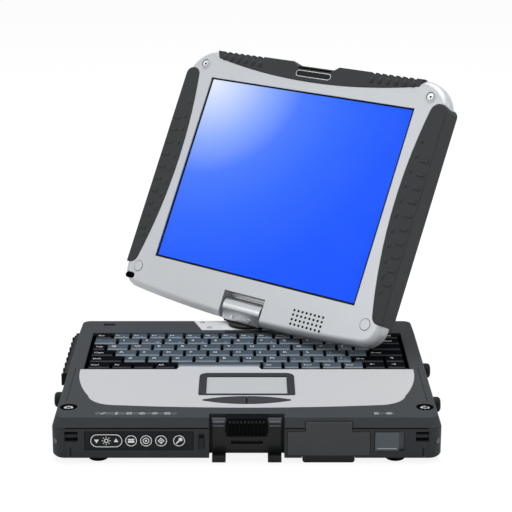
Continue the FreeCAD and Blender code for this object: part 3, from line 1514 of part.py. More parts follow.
# Display
LID_TOP = SWIVEL_Y - FRONT + d.lid_overhang
SCREEN_HALF = SIDE - d.screen_side_border
SCREEN_HIGH = LID_TOP - d.screen_top_border
SCREEN_Y = (d.screen_low, SCREEN_HIGH)
SCREEN_BAY_LOW = d.screen_low - d.screen_bay_drop
BUMPER_HALF = SIDE - d.lid_top_corner
BUMPER_END = (BUMPER_HALF - d.bumper_end_taper, LID_TOP - d.bumper_end_drop)
CHIN_BAY_HALF = SIDE - d.chin_bay_inset
GRIP_HIGH = LID_TOP - d.grip_top_gap


def grown(span, margin):
    return (span[0] - margin, span[1] + margin)


def on_display(member):
    item = group([member])
    turn = FreeCAD.Rotation(FreeCAD.Vector(0, 0, 1), -d.swivel_rest.value)
    lean = FreeCAD.Rotation(FreeCAD.Vector(1, 0, 0), 90 - d.tilt_rest.value)
    place = FreeCAD.Vector(0, SWIVEL_Y.value, TILT_HEIGHT.value)
    item.Placement = FreeCAD.Placement(place, turn.multiply(lean))
    return item


def lid_outline():
    """The display from the front: a bowed chin, two low corners that run into it, and larger top corners."""
    half, corner, top = SIDE, d.lid_low_corner, d.lid_top_corner
    reach = d.chin_radius - corner
    across_x = half - corner
    rise = root(reach * reach - across_x * across_x)
    centre_y = d.lid_chin + d.chin_radius
    side_y = centre_y - rise
    meet = (across_x * d.chin_radius / reach, centre_y - rise * d.chin_radius / reach)
    return [
        (-meet[0], meet[1], d.chin_radius),
        meet + (corner,),
        (half, side_y),
        (half, LID_TOP - top, top),
        (half - top, LID_TOP),
        (top - half, LID_TOP, top),
        (-half, LID_TOP - top),
        (-half, side_y, corner),
    ]


def grip_outline(side):
    """A side grip: straight outside, bowed inside, with round ends that run into the bow."""
    half, radius, bow = SIDE, d.grip_end_radius, d.grip_inner_radius
    centre_x, centre_y = half - d.grip_depth + bow, d.grip_low + d.grip_bow_rise
    scale = bow / (bow - radius)
    ends = []
    for end_y in (d.grip_low + radius, GRIP_HIGH - radius):
        rise = end_y - centre_y
        run = root((bow - radius) * (bow - radius) - rise * rise)
        ends.append((centre_x - run, (centre_x - run * scale, centre_y + rise * scale)))
    (low_x, low_meet), (high_x, high_meet) = ends
    corner = d.grip_outer_corner
    outline = [
        (low_x, d.grip_low),
        (half, d.grip_low),
        (half, GRIP_HIGH - corner, corner),
        (half - corner, GRIP_HIGH),
        (high_x, GRIP_HIGH, radius),
        high_meet + (bow,),
        low_meet + (radius,),
    ]
    return outline if side > 0 else mirrored(outline)


def bumper_outline():
    """The top bumper: bowed below, with the latch recess in the middle of its top."""
    top, half = LID_TOP, BUMPER_HALF
    floor = d.recess_half - d.recess_slant
    return [
        (-BUMPER_END[0], BUMPER_END[1], d.bumper_radius),
        BUMPER_END,
        (half, top),
        (d.recess_half, top),
        (floor, top - d.recess_depth),
        (-floor, top - d.recess_depth),
        (-d.recess_half, top),
        (-half, top),
    ]


def bumper_cut_outline():
    """The space that the bumper takes out of the shells, past their top edge."""
    half, past = BUMPER_HALF, LID_TOP + PAST
    return [
        (-BUMPER_END[0], BUMPER_END[1], d.bumper_radius),
        BUMPER_END,
        (half, LID_TOP),
        (half, past),
        (-half, past),
        (-half, LID_TOP),
    ]


def lid_hollows():
    """Bays for the screen, the chin's electronics and the two hinge brackets."""
    back = d.lid_back + d.lid_wall
    face = d.bezel_front - d.bezel_face
    screen_x = across(SCREEN_HALF + d.screen_bay_side)
    screen_y = (SCREEN_BAY_LOW, SCREEN_HIGH + d.screen_bay_rise)
    screen = block(screen_x, screen_y, (back, face))
    wall = d.notch_half + d.notch_wall
    hollows = [screen]
    for side in (-1, 1):
        chin_x = outward(side, wall, CHIN_BAY_HALF)
        hollows.append(block(chin_x, (d.chin_bay_low, SCREEN_BAY_LOW + PAST), (back, face - d.bezel_face)))
        hinge_x = outward(side, wall, d.hinge_bay_outer)
        hollows.append(block(hinge_x, (d.hinge_bay_low, d.notch_top), across(d.hinge_bay_half_thick)))
    return hollows


def lid_cutters():
    """What both shells leave free: grips, bumper, hinge notch, tilt shaft and corner screws."""
    thick = (d.lid_back - PAST, d.bezel_front + PAST)
    tools = [prism(grip_outline(side), *thick) for side in (-1, 1)]
    tools.append(prism(bumper_cut_outline(), *thick))
    tools.append(block(across(d.notch_half), (d.lid_chin - PAST, d.notch_top), thick))
    shaft_room = d.tilt_shaft_radius + d.moving_gap
    tools.append(rod(shaft_room, "x", (0.0, 0.0), across(d.hinge_bay_outer)))
    return tools


def corner_screw_points():
    return [(side * (SIDE - d.corner_screw_side), LID_TOP - d.corner_screw_drop) for side in (-1, 1)]


def cap_points():
    return [(side * (SIDE - d.cap_side), d.cap_y) for side in (-1, 1)]


def display_bezel():
    shell = prism(lid_outline(), d.lid_split, d.bezel_front)
    soften(shell, "Fillet", d.bezel_round, d.bezel_front)
    tools = lid_hollows() + lid_cutters()
    past = d.bezel_front + PAST
    tools.append(block(across(SCREEN_HALF), SCREEN_Y, (d.lid_split, past)))
    shank = d.corner_screw_radius + d.running_gap
    for point in corner_screw_points():
        tools.append(rod(d.corner_screw_cup, "z", point, (d.bezel_front - d.corner_cup_depth, past)))
        tools.append(rod(shank, "z", point, (d.lid_split - PAST, past)))
    for point in cap_points():
        tools.append(rod(d.cap_radius + d.seat_gap, "z", point, (d.bezel_front - d.cap_thick, past)))
    eye_y = d.cord_eye_y
    eye_low = d.bezel_front - d.cord_eye_depth
    eye_half = d.cord_eye_half - d.cord_eye_radius
    eye_x = about(d.cord_eye_side - SIDE, eye_half)
    eye = [block(eye_x, about(eye_y, d.cord_eye_radius), (eye_low, past))]
    for end in eye_x:
        eye.append(rod(d.cord_eye_radius, "z", (end, eye_y), (eye_low, past)))
    tools.append(join(*eye))
    holes = []
    for column in range(int(d.grille_columns.value)):
        for line in range(int(d.grille_rows.value)):
            point = (d.grille_left + d.grille_pitch_x * column, d.grille_low + d.grille_pitch_y * line)
            holes.append(rod(d.grille_hole, "z", point, (d.lid_split + PAST, past)))
    return cut(cut(shell, *tools), group(holes))


def display_rear_cover():
    shell = prism(lid_outline(), d.lid_back, d.lid_split)
    soften(shell, "Fillet", d.lid_back_round, d.lid_back)
    tools = lid_hollows() + lid_cutters()
    shank = d.corner_screw_radius + d.running_gap
    for point in corner_screw_points():
        tools.append(rod(shank, "z", point, (d.lid_back + d.lid_wall, d.lid_split + PAST)))
    return cut(shell, *tools)


def side_grip(side):
    front = d.bezel_front + d.grip_proud
    grip = prism(grip_outline(side), d.lid_back, front)
    soften(grip, "Fillet", d.grip_edge, front)
    ribs = []
    for number in range(int(d.grip_rib_count.value)):
        middle = d.grip_low + d.grip_rib_first + d.grip_rib_pitch * number
        outer = SIDE - d.grip_rib_inset
        x = outward(side, outer - d.grip_rib_length, outer)
        ribs.append(block(x, about(middle, d.grip_rib_width / 2), (d.lid_split, front + d.grip_rib_proud)))
    return join(grip, *ribs)


def top_bumper():
    front = d.bezel_front + d.bumper_proud
    bumper = prism(bumper_outline(), d.lid_back, front)
    soften(bumper, "Fillet", d.bumper_edge, front)
    grooves = []
    for side in (-1, 1):
        for number in range(int(d.ridge_count.value)):
            middle = side * (BUMPER_HALF - d.ridge_end_gap - d.ridge_pitch * number)
            groove = about(middle, (d.ridge_pitch - d.ridge_width) / 2)
            deep = (LID_TOP - d.ridge_depth, LID_TOP + PAST)
            grooves.append(block(groove, deep, (d.lid_back - PAST, front + PAST)))
    return cut(bumper, *grooves)


def touch_glass():
    high = d.bezel_front - d.bezel_face
    x = across(SCREEN_HALF + d.glass_border)
    y = grown(SCREEN_Y, d.glass_border)
    return block(x, y, (high - d.glass_thick, high))


def screen_panel():
    high = d.bezel_front - d.bezel_face - d.glass_thick
    x = across(SCREEN_HALF + d.screen_border)
    y = grown(SCREEN_Y, d.screen_border)
    return block(x, y, (high - d.screen_thick, high))


def display_screws():
    """Two corner screws in their cups and the two round caps below."""
    members = []
    low = d.bezel_front - d.corner_cup_depth
    for point in corner_screw_points():
        head = rod(d.screw_head_radius, "z", point, (low, d.bezel_front))
        members.append(join(head, rod(d.corner_screw_radius, "z", point, (low - d.corner_screw_length, low))))
    for point in cap_points():
        cap = (d.bezel_front - d.cap_thick, d.bezel_front + d.cap_proud)
        members.append(rod(d.cap_radius, "z", point, cap))
    return group(members)


def speaker():
    middle_x = d.grille_left + d.grille_pitch_x * (d.grille_columns - 1) / 2
    middle_y = d.grille_low + d.grille_pitch_y * (d.grille_rows - 1) / 2
    high = d.bezel_front - d.bezel_face * 2 - d.seat_gap
    x, y = about(middle_x, d.speaker_width / 2), about(middle_y, d.speaker_height / 2)
    return block(x, y, (high - d.speaker_thick, high))


def display_board():
    low = d.lid_back + d.lid_wall + d.seat_gap
    left = d.display_board_inset - CHIN_BAY_HALF
    x = (left, left + d.display_board_width)
    return block(x, (d.display_board_low, d.display_board_high), (low, low + d.board_thick))


def hinge_brackets():
    """Two blocks in the display that turn on the ends of the tilt shaft."""
    members = []
    for side in (-1, 1):
        x = outward(side, d.bracket_inner, d.bracket_outer)
        lump = block(x, (d.bracket_low, d.bracket_high), across(d.bracket_half_thick))
        bore = outward(side, d.bracket_inner - PAST, d.tilt_shaft_half + d.moving_gap)
        members.append(cut(lump, rod(d.tilt_shaft_radius + d.running_gap, "x", (0.0, 0.0), bore)))
    return group(members)


# The base
node("bottom_case", bottom_case())
node("top_cover", top_cover())
node("palm_rest", palm_rest())
node("keyboard_tray", keyboard_tray())
node("touchpad_surround", touchpad_surround())
node("touchpad", touchpad())
node("status_windows", status_windows())
node("deck_screws", deck_screws())
node("front_button_panel", front_button_panel())
node("latch_block", latch_block())
pin_place = (LATCH_PIN_Y, d.latch_pin_height)
node("latch_pin", rod(d.latch_pin_radius, "x", pin_place, across(d.latch_arm_outer)))
node("swivel_plate", swivel_plate())
node("motherboard", motherboard())
node("heat_spreader", heat_spreader())
node("memory_module", memory_module())
node("hard_drive", hard_drive())
node("port_connectors", port_connectors())
node("feet", feet())
node("memory_door", memory_door())
node("case_screws", case_screws())

# What moves on the base
for number, places in enumerate(KEY_ROWS, start=1):
    node(f"key_row_{number}", group([key(*place) for place in places]))
node("space_bar", key(*SPACE_BAR))
node("touchpad_button_left", touchpad_button(-1))
node("touchpad_button_right", touchpad_button(1))
node("brightness_rocker", brightness_rocker())
for number, place in enumerate(button_places(), start=1):
    node(f"front_button_{number}", front_button(place))
node("slide_switch", slide_switch())
node("display_latch", display_latch())
node("battery_pack", battery_pack())
node("battery_pull_tab", battery_pull_tab())
node("battery_latch", battery_latch())
node("swivel_lock_bar", lock_bar())
for cover in COVERS:
    node(cover[0], side_cover(*cover))

# The swivel
node("swivel_turret", on_swivel(swivel_turret()))
node("swivel_shaft", on_swivel(swivel_shaft()))
node("hinge_barrel", on_swivel(hinge_barrel()))
node("hinge_screws", on_swivel(hinge_screws()))
node("tilt_shaft", on_swivel(tilt_shaft()))

# The display
node("display_rear_cover", on_display(display_rear_cover()))
node("display_bezel", on_display(display_bezel()))
node("screen_panel", on_display(screen_panel()))
node("touch_glass", on_display(touch_glass()))
node("left_grip", on_display(side_grip(-1)))
node("right_grip", on_display(side_grip(1)))
node("top_bumper", on_display(top_bumper()))
node("display_screws", on_display(display_screws()))
node("speaker", on_display(speaker()))
node("display_board", on_display(display_board()))
node("hinge_brackets", on_display(hinge_brackets()))

doc.recompute()
for item in doc.Objects:
    if {"Invalid", "Error"} & set(item.State):
        raise RuntimeError(f"{item.Name} ({item.Label}) failed: {item.State}")
os.makedirs("parts", exist_ok=True)
for item in nodes:
    shape = item.Shape
    if shape.isNull() or not shape.isValid():
        raise RuntimeError(f"{item.Label} has no valid shape")
    shape.exportStep(f"parts/{item.Label}.step")
    print(f"{item.Label}: {len(shape.Solids)} solids, {shape.Volume / 1000:.2f} cm3")
print(f"{len(nodes)} sub-parts")
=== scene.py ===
# %% [markdown]
# # A rugged convertible notebook
# The solids of the notebook come from its CAD frame, already in place and in metres. This lesson dresses
# them: it gives every piece a finish, models the key caps, legends, screws, signs and guards that the
# solids leave plain, and sets up the camera and the studio.

# %% Load the frame
import json
import math

import bmesh
import bpy
from mathutils import Matrix, Vector


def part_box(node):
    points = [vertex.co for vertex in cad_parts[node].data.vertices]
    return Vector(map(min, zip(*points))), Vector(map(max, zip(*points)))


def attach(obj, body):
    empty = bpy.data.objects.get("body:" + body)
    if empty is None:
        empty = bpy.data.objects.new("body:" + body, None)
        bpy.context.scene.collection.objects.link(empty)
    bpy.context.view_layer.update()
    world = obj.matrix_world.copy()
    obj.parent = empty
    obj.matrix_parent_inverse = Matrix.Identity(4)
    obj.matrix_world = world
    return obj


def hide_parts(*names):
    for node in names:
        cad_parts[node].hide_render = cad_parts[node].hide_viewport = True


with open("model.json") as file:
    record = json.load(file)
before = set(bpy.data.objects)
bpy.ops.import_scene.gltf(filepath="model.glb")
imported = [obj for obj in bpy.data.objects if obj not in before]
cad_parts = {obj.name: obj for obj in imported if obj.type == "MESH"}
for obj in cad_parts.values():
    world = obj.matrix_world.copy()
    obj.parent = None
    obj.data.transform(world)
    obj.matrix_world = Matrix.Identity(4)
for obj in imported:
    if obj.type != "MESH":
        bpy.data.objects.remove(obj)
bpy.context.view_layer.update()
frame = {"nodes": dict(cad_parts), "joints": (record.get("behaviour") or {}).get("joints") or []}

MM = 0.001
nodes = frame["nodes"]

# %% [markdown]
# ## The camera
# The photograph was taken from the front, a little above the deck, through a long lens. Such a view could
# be found by moving a camera until it looks right. Here a pinhole camera was fitted to the corners of the
# deck and the screen, because the fit also gives the real proportions. The picture is cropped a little off
# centre, which is the shift.

# %% Camera
SENSOR, LENS, SIDE_SHIFT, NEAREST = 36.0, 117.7, 0.018, 0.05
CAMERA_PLACE, LOOKING_DOWN = (0.0, -1.18942, 0.46212), 0.281
camera_data = bpy.data.cameras.new("camera")
camera_data.sensor_width = SENSOR
camera_data.lens = LENS
camera_data.shift_x = SIDE_SHIFT
camera_data.clip_start = NEAREST
camera = bpy.data.objects.new("camera", camera_data)
camera.location = CAMERA_PLACE
camera.rotation_euler = (math.pi / 2 - LOOKING_DOWN, 0.0, 0.0)
bpy.context.scene.collection.objects.link(camera)
bpy.context.scene.camera = camera
print("camera at", CAMERA_PLACE, "looking down", round(math.degrees(LOOKING_DOWN), 1), "degrees")

# %% [markdown]
# ## Shader maths
# A finish is a small network of nodes. It could be wired node by node, but then its sums are hard to read.
# So one class wraps a socket: adding, multiplying or comparing sockets adds the Math nodes, and one method
# makes any other node from its type, its settings and the values of its inputs.

# %% Sockets with operators
class Wire:
    def __init__(self, tree, socket):
        self.tree = tree
        self.socket = socket

    def node(self, kind, settings=None, inputs=None, output=0):
        item = self.tree.nodes.new(kind)
        for name, value in (settings or {}).items():
            if name == "stops":
                set_stops(item.color_ramp, value)
            else:
                setattr(item, name, value)
        for name, value in (inputs or {}).items():
            plug(self.tree, item.inputs[name], value)
        return Wire(self.tree, item.outputs[output])

    def math(self, operation, *values):
        return self.node("ShaderNodeMath", {"operation": operation}, dict(enumerate(values)))

    def __add__(self, other):
        return self.math("ADD", self, other)

    def __sub__(self, other):
        return self.math("SUBTRACT", self, other)

    def __rsub__(self, other):
        return self.math("SUBTRACT", other, self)

    def __mul__(self, other):
        return self.math("MULTIPLY", self, other)

    def __truediv__(self, other):
        return self.math("DIVIDE", self, other)

    def __rtruediv__(self, other):
        return self.math("DIVIDE", other, self)

    def __lt__(self, other):
        return self.math("LESS_THAN", self, other)

    def __gt__(self, other):
        return self.math("GREATER_THAN", self, other)

    __radd__ = __add__
    __rmul__ = __mul__


def plug(tree, socket, value):
    if isinstance(value, Wire):
        tree.links.new(value.socket, socket)
    else:
        socket.default_value = value


def set_stops(ramp, stops):
    while len(ramp.elements) < len(stops):
        ramp.elements.new(1.0)
    for element, (position, colour) in zip(ramp.elements, stops):
        element.position = position
        element.color = colour


print("sockets take part in sums:", [name for name in vars(Wire) if name.startswith("__r")])

# %% [markdown]
# ## Colours
# A colour is easiest to name as a screen colour, with two digits each for red, green and blue. Shaders work
# in linear light, so each one is turned into linear values here. A finish starts as a Principled shader
# with the numbers that stay the same all over it, and Object coordinates, which move with the piece.

# %% Colours and the start of a finish
def linear(text):
    values = [int(text[place:place + 2], 16) / 255 for place in (1, 3, 5)]
    return tuple(v / 12.92 if v <= 0.04045 else ((v + 0.055) / 1.055) ** 2.4 for v in values) + (1.0,)


def shade(colour, factor):
    return tuple(min(1.0, value * factor) for value in colour[:3]) + (1.0,)


def start_finish(name, **constants):
    material = bpy.data.materials.new(name)
    material.use_nodes = True
    tree = material.node_tree
    shader = tree.nodes["Principled BSDF"]
    for socket, value in constants.items():
        shader.inputs[socket.replace("_", " ")].default_value = value
    coordinates = tree.nodes.new("ShaderNodeTexCoord")
    return material, shader, Wire(tree, coordinates.outputs["Object"])


def feed(shader, socket, wire):
    plug(shader.id_data, shader.inputs[socket], wire)


def mix(wire, factor, first, second):
    return wire.node("ShaderNodeMix", {"data_type": "RGBA"}, {0: factor, 6: first, 7: second}, 2)


def noise(place, scale, detail):
    return place.node("ShaderNodeTexNoise", {}, {"Vector": place, "Scale": scale, "Detail": detail})


print("middle grey in linear light:", [round(value, 3) for value in linear("#808080")[:3]])

# %% [markdown]
# ## Moulded and painted finishes
# Most of the casing is moulded plastic or painted metal. Close up, both show a fine grain that scatters the
# light and a very slight cloudiness. Flat colours would look like paper, and pictures of plastic would
# slide on the pieces, so one recipe makes them all from noise: a fine one raises the surface and varies the
# roughness, and a broad one varies the colour. Real edges are never sharp, so a Bevel node rounds the
# shading there, and the edge catches the light.

# %% Moulded finish
CLOUD_SCALE, ROUGH_SWING, EDGE_RADIUS = 34.0, 0.16, 0.5 * MM


def moulded(name, colour, roughness, grain=1400.0, depth=0.00004, mottle=0.08, **constants):
    material, shader, place = start_finish(name, **constants)
    fine = noise(place, grain, 2.0)
    cloud = noise(place, CLOUD_SCALE, 4.0) * 0.6 + fine * 0.4
    deep, pale = shade(linear(colour), 1 - mottle), shade(linear(colour), 1 + mottle)
    feed(shader, "Base Color", mix(place, cloud, deep, pale))
    feed(shader, "Roughness", fine * ROUGH_SWING + (roughness - ROUGH_SWING / 2))
    soft_edge = place.node("ShaderNodeBevel", {"samples": 4}, {"Radius": EDGE_RADIUS})
    relief = {"Strength": 0.6, "Distance": depth, "Height": fine, "Normal": soft_edge}
    feed(shader, "Normal", place.node("ShaderNodeBump", {}, relief))
    return material


print("moulded recipe: cloud scale", CLOUD_SCALE, "edge radius", EDGE_RADIUS)

# %% [markdown]
# ### The finishes of this notebook
# The deck is seen at a low angle, where every dark surface shines. On the real one a dull paint prevents
# that, so these finishes reflect very little. Rubber has a coarse grain, the latch is glossier, and painted
# or bare metal has a much finer grain than plastic.

# %% Plastics and rubber
MATT, DULL = {"Specular_IOR_Level": 0.02}, {"Specular_IOR_Level": 0.15}
RUBBERY = {"grain": 900.0, "depth": 0.00008}
deck_paint = moulded("deck_paint", "#434648", 0.60, **MATT)
# The lower casing is painted darker than the deck: painted shade for its front, which the top lamp hardly
# reaches.
casing_painted_shade = moulded("casing_painted_shade", "#323537", 0.55, **DULL)
grip_plastic = moulded("grip_plastic", "#373A3C", 0.55, grain=1100.0, depth=0.00007, **DULL)
pad_frame = moulded("pad_frame", "#383B3D", 0.55, **MATT)
black_plastic = moulded("black_plastic", "#0F1011", 0.45, **DULL)
# Black for black parts and dark seams, and for the black sheets that are painted shade in holes, slots, cups
# and sockets.
black_and_painted_shade = moulded("black_and_painted_shade", "#08090A", 0.80, Specular_IOR_Level=0.0)
panel_plastic = moulded("panel_plastic", "#1B1D1F", 0.50, **DULL)
battery_plastic = moulded("battery_plastic", "#444749", 0.60, grain=800.0, **DULL)
button_plastic = moulded("button_plastic", "#3E4143", 0.55, depth=0.00002, **MATT)
latch_plastic = moulded("latch_plastic", "#0A0B0C", 0.36, depth=0.00003, Specular_IOR_Level=0.3)
knob_plastic = moulded("knob_plastic", "#50585E", 0.42, depth=0.00003, Specular_IOR_Level=0.3)
foot_rubber = moulded("foot_rubber", "#101112", 0.75, **RUBBERY, **MATT)
cover_rubber = moulded("cover_rubber", "#161819", 0.62, **RUBBERY, **DULL)
pad_film = moulded("pad_film", "#B8BBBB", 0.52, depth=0.00002, mottle=0.04, **MATT)
window_tint = moulded("window_tint", "#474B4E", 0.40, depth=0.00001, mottle=0.04, **DULL)
print("materials so far, with the frame's own:", len(bpy.data.materials))

# %% Metals, boards and inks
SLEEK, INKED = {"depth": 0.00001, "mottle": 0.05}, {"depth": 0.00001, "mottle": 0.03}
silver_paint = moulded("silver_paint", "#BDC0C4", 0.40, grain=2600.0, Metallic=0.35, **SLEEK)
hinge_metal = moulded("hinge_metal", "#BDC0C4", 0.28, grain=2200.0, Metallic=0.85, **SLEEK)
plate_metal = moulded("plate_metal", "#E0E2E4", 0.36, grain=2200.0, Metallic=0.3, **SLEEK)
steel = moulded("steel", "#CDCFD1", 0.24, grain=1800.0, depth=0.00001, mottle=0.06, Metallic=1.0)
board_mask = moulded("board_mask", "#1C4A2C", 0.40, mottle=0.15)
legend_white = moulded("legend_white", "#F2F3F4", 0.55, **INKED)
legend_blue = moulded("legend_blue", "#8FB6E8", 0.55, **INKED)
legend_grey = moulded("legend_grey", "#B6B9BB", 0.55, **INKED)
print("materials with metals, boards and inks:", len(bpy.data.materials))

# %% [markdown]
# ## The brushed palm rest
# The silver panel in front of the keys is brushed from side to side. Lines could be modelled or drawn one
# by one, but there are thousands, so a noise is stretched along X instead. The long fine scratches vary
# both the colour and the roughness, and are raised very slightly.

# %% Brushed finish
SCRATCHES = (14.0, 2600.0, 2600.0)
SCRATCH_SWING = 0.22


def brushed(name, colour, roughness, **constants):
    material, shader, place = start_finish(name, **constants)
    stretched = place.node("ShaderNodeMapping", {}, {"Vector": place, "Scale": SCRATCHES})
    scratch = noise(stretched, 1.0, 3.0)
    tone = scratch * 0.7 + noise(place, 9.0, 2.0) * 0.3
    deep, pale = shade(linear(colour), 0.88), shade(linear(colour), 1.1)
    feed(shader, "Base Color", mix(place, tone, deep, pale))
    feed(shader, "Roughness", scratch * SCRATCH_SWING + (roughness - SCRATCH_SWING / 2))
    relief = {"Strength": 0.35, "Distance": 0.00002, "Height": scratch}
    feed(shader, "Normal", place.node("ShaderNodeBump", {}, relief))
    return material


brushed_panel = brushed("brushed_panel", "#C0C1C2", 0.56, Specular_IOR_Level=0.12)
bare_aluminium = brushed("bare_aluminium", "#B4B6B9", 0.34, Metallic=0.9)
print("brushed finishes:", brushed_panel.name, bare_aluminium.name)

# %% [markdown]
# ## The display's own frame
# The display stands turned on its swivel and tipped on its hinge. Work on it is easier in its own frame,
# with x to the right, y up the screen and z out of it. The joints give that frame: their place, and the
# angles they are shown at. Finishes come into it with a Mapping node, and prints and screws with the same
# matrix.

# %% The display's own frame
joints = {joint["name"]: joint for joint in frame["joints"]}
hinge_place = Vector(joints["display_tilt"]["pos_m"])
swivel_turn = math.radians(joints["swivel_turn"]["range_deg"][0])
lean = math.radians(joints["display_tilt"]["range_deg"][1])
display_turn = Matrix.Rotation(swivel_turn, 4, "Z") @ Matrix.Rotation(lean, 4, "X")
display_place = Matrix.Translation(hinge_place) @ display_turn


def on_display(place):
    inputs = {"Vector": place, "Location": tuple(hinge_place), "Rotation": tuple(display_turn.to_euler())}
    return place.node("ShaderNodeMapping", {"vector_type": "TEXTURE"}, inputs)


print("display turned", round(math.degrees(swivel_turn)), "and tipped", round(math.degrees(lean)), "degrees")

# %% [markdown]
# ## The screen
# The screen is lit: an even blue that pales towards the upper left corner, with a thin black edge where the
# panel runs under its frame. A lamp behind a film would be truer, but slow, so the panel glows by itself. A
# ramp over the distance from the corner gives the colours, and four comparisons keep the edge dark.

# %% Lit screen
SCREEN_MIDDLE = 104.5 * MM
HALF_WIDE, HALF_TALL = 105.8 * MM, 80.0 * MM
DARK_EDGE = {"left": 1.0 * MM, "right": 2.7 * MM, "top": 1.1 * MM, "bottom": 1.9 * MM}
GLOW_REACH, GLOW_HEIGHT = 1.25, 0.8
GLOW = [(0.0, "#EEF3FF"), (0.10, "#CBDAFF"), (0.24, "#8EAEFF"), (0.38, "#4A7BFF")]
GLOW += [(0.55, "#2E69FF"), (0.78, "#1859FF"), (1.0, "#1054FF")]


def lit_screen():
    constants = {"Roughness": 0.6, "Specular_IOR_Level": 0.0, "Emission_Strength": 1.0}
    material, shader, place = start_finish("lit_screen", **constants)
    flat = on_display(place)
    x = flat.node("ShaderNodeSeparateXYZ", {}, {"Vector": flat}, 0)
    y = flat.node("ShaderNodeSeparateXYZ", {}, {"Vector": flat}, 1) - SCREEN_MIDDLE
    across = x / (2 * HALF_WIDE) + 0.5
    down = 0.5 - y / (2 * HALF_TALL)
    distance = flat.math("SQRT", across * across + down * down * GLOW_HEIGHT)
    stops = [(position, linear(colour)) for position, colour in GLOW]
    glow = flat.node("ShaderNodeValToRGB", {"stops": stops}, {"Fac": distance / GLOW_REACH})
    wide = (x > DARK_EDGE["left"] - HALF_WIDE) * (x < HALF_WIDE - DARK_EDGE["right"])
    tall = (y > DARK_EDGE["bottom"] - HALF_TALL) * (y < HALF_TALL - DARK_EDGE["top"])
    inside = wide * tall
    feed(shader, "Emission Color", mix(place, inside, (0.0, 0.0, 0.0, 1.0), glow))
    feed(shader, "Base Color", mix(place, inside, linear("#050506"), linear("#08090C")))
    return material


def clear_glass():
    material, shader, place = start_finish("clear_glass", Roughness=0.12, Specular_IOR_Level=0.1)
    film = noise(place, 60.0, 2.0)
    feed(shader, "Base Color", mix(place, film, linear("#DDE4EA"), linear("#EEF2F6")))
    feed(shader, "Alpha", film * 0.01 + 0.008)
    return material


screen_light = lit_screen()
screen_glass = clear_glass()
print("screen glow in", len(GLOW), "stops behind", screen_glass.name)

# %% [markdown]
# ## Finishes for the solids
# Each solid of the frame now gets its finish. The list goes finish by finish, as a painter would work, and
# no solid changes its shape.

# %% Give the solids their finishes
FRONT_BUTTONS = ["brightness_rocker", "front_button_1", "front_button_2", "front_button_3", "front_button_4"]
FINISHES = {
    deck_paint: ["top_cover"],
    casing_painted_shade: ["bottom_case", "memory_door"],
    grip_plastic: ["left_grip", "right_grip", "top_bumper"],
    pad_frame: ["touchpad_surround"],
    panel_plastic: ["front_button_panel"] + FRONT_BUTTONS,
    black_plastic: ["swivel_turret", "swivel_lock_bar"],
    black_and_painted_shade: ["keyboard_tray", "speaker"],
    latch_plastic: ["latch_pin", "display_latch", "battery_pull_tab", "slide_switch"],
    battery_plastic: ["battery_pack"],
    button_plastic: ["touchpad_button_left", "touchpad_button_right"],
    knob_plastic: ["battery_latch"],
    foot_rubber: ["feet", "latch_block"],
    cover_rubber: ["left_ribbed_cover", "left_jack_cover", "right_card_cover", "right_jack_cover"],
    pad_film: ["touchpad"],
    window_tint: ["status_windows"],
    silver_paint: ["display_bezel", "display_rear_cover", "display_screws"],
    hinge_metal: ["hinge_barrel"],
    plate_metal: ["swivel_plate"],
    steel: ["case_screws", "deck_screws", "hinge_screws", "swivel_shaft", "tilt_shaft", "hinge_brackets"],
    board_mask: ["motherboard", "memory_module", "display_board"],
    brushed_panel: ["palm_rest"],
    bare_aluminium: ["heat_spreader", "hard_drive", "port_connectors"],
    screen_light: ["screen_panel"],
    screen_glass: ["touch_glass"],
}


def dress(item, material):
    item.data.materials.clear()
    item.data.materials.append(material)


for material, names in FINISHES.items():
    for name in names:
        dress(nodes[name], material)
print("dressed", sum(len(names) for names in FINISHES.values()), "solids")

# %% [markdown]
# ## The key caps
# A cap is a low block whose top is drawn in, more at the front than behind, with a shallow dish for the
# fingertip and softly rounded edges. The frame's solids give each key's place. The places could be typed
# in, but measuring keeps the caps right when the frame changes: the cell walks along edges from vertex to
# vertex, and what hangs together is one key.

# %% Measure the keys
def solids_of(name):
    shape = bmesh.new()
    shape.from_mesh(nodes[name].data)
    bmesh.ops.remove_doubles(shape, verts=shape.verts, dist=1e-6)
    left = set(shape.verts)
    boxes = []
    while left:
        todo = [left.pop()]
        points = []
        while todo:
            vert = todo.pop()
            points.append(vert.co.copy())
            for edge in vert.link_edges:
                other = edge.other_vert(vert)
                if other in left:
                    left.remove(other)
                    todo.append(other)
        low = Vector([min(point[axis] for point in points) for axis in range(3)])
        high = Vector([max(point[axis] for point in points) for axis in range(3)])
        boxes.append((low, high))
    shape.free()
    return sorted(boxes, key=lambda box: box[0].x)


KEY_ROWS = ["key_row_1", "key_row_2", "key_row_3", "key_row_4", "key_row_5", "key_row_6"]
key_boxes = {name: solids_of(name) for name in KEY_ROWS + ["space_bar"]}
print("keys in each row:", [len(boxes) for boxes in key_boxes.values()])

# %% [markdown]
# ### Two finishes for keys
# The rim of a key is rounded, and a thin pale line along it is a painted highlight, while the steep sides
# get painted shade for the dark between the keys. Lines could be painted on, but they would have to follow
# every rim. So the finish reads how far a face points upwards, and a ramp gives sides, rim and top their
# own tones: painted shade, a painted highlight, and the key's own colour. Letter keys are blue grey, and the
# keys at the ends of the rows are nearly black.

# %% Key finishes
SIDE_SHADE_END, RIM_HIGHLIGHT_START, RIM_HIGHLIGHT_END, TOP_START = 0.58, 0.70, 0.90, 0.965


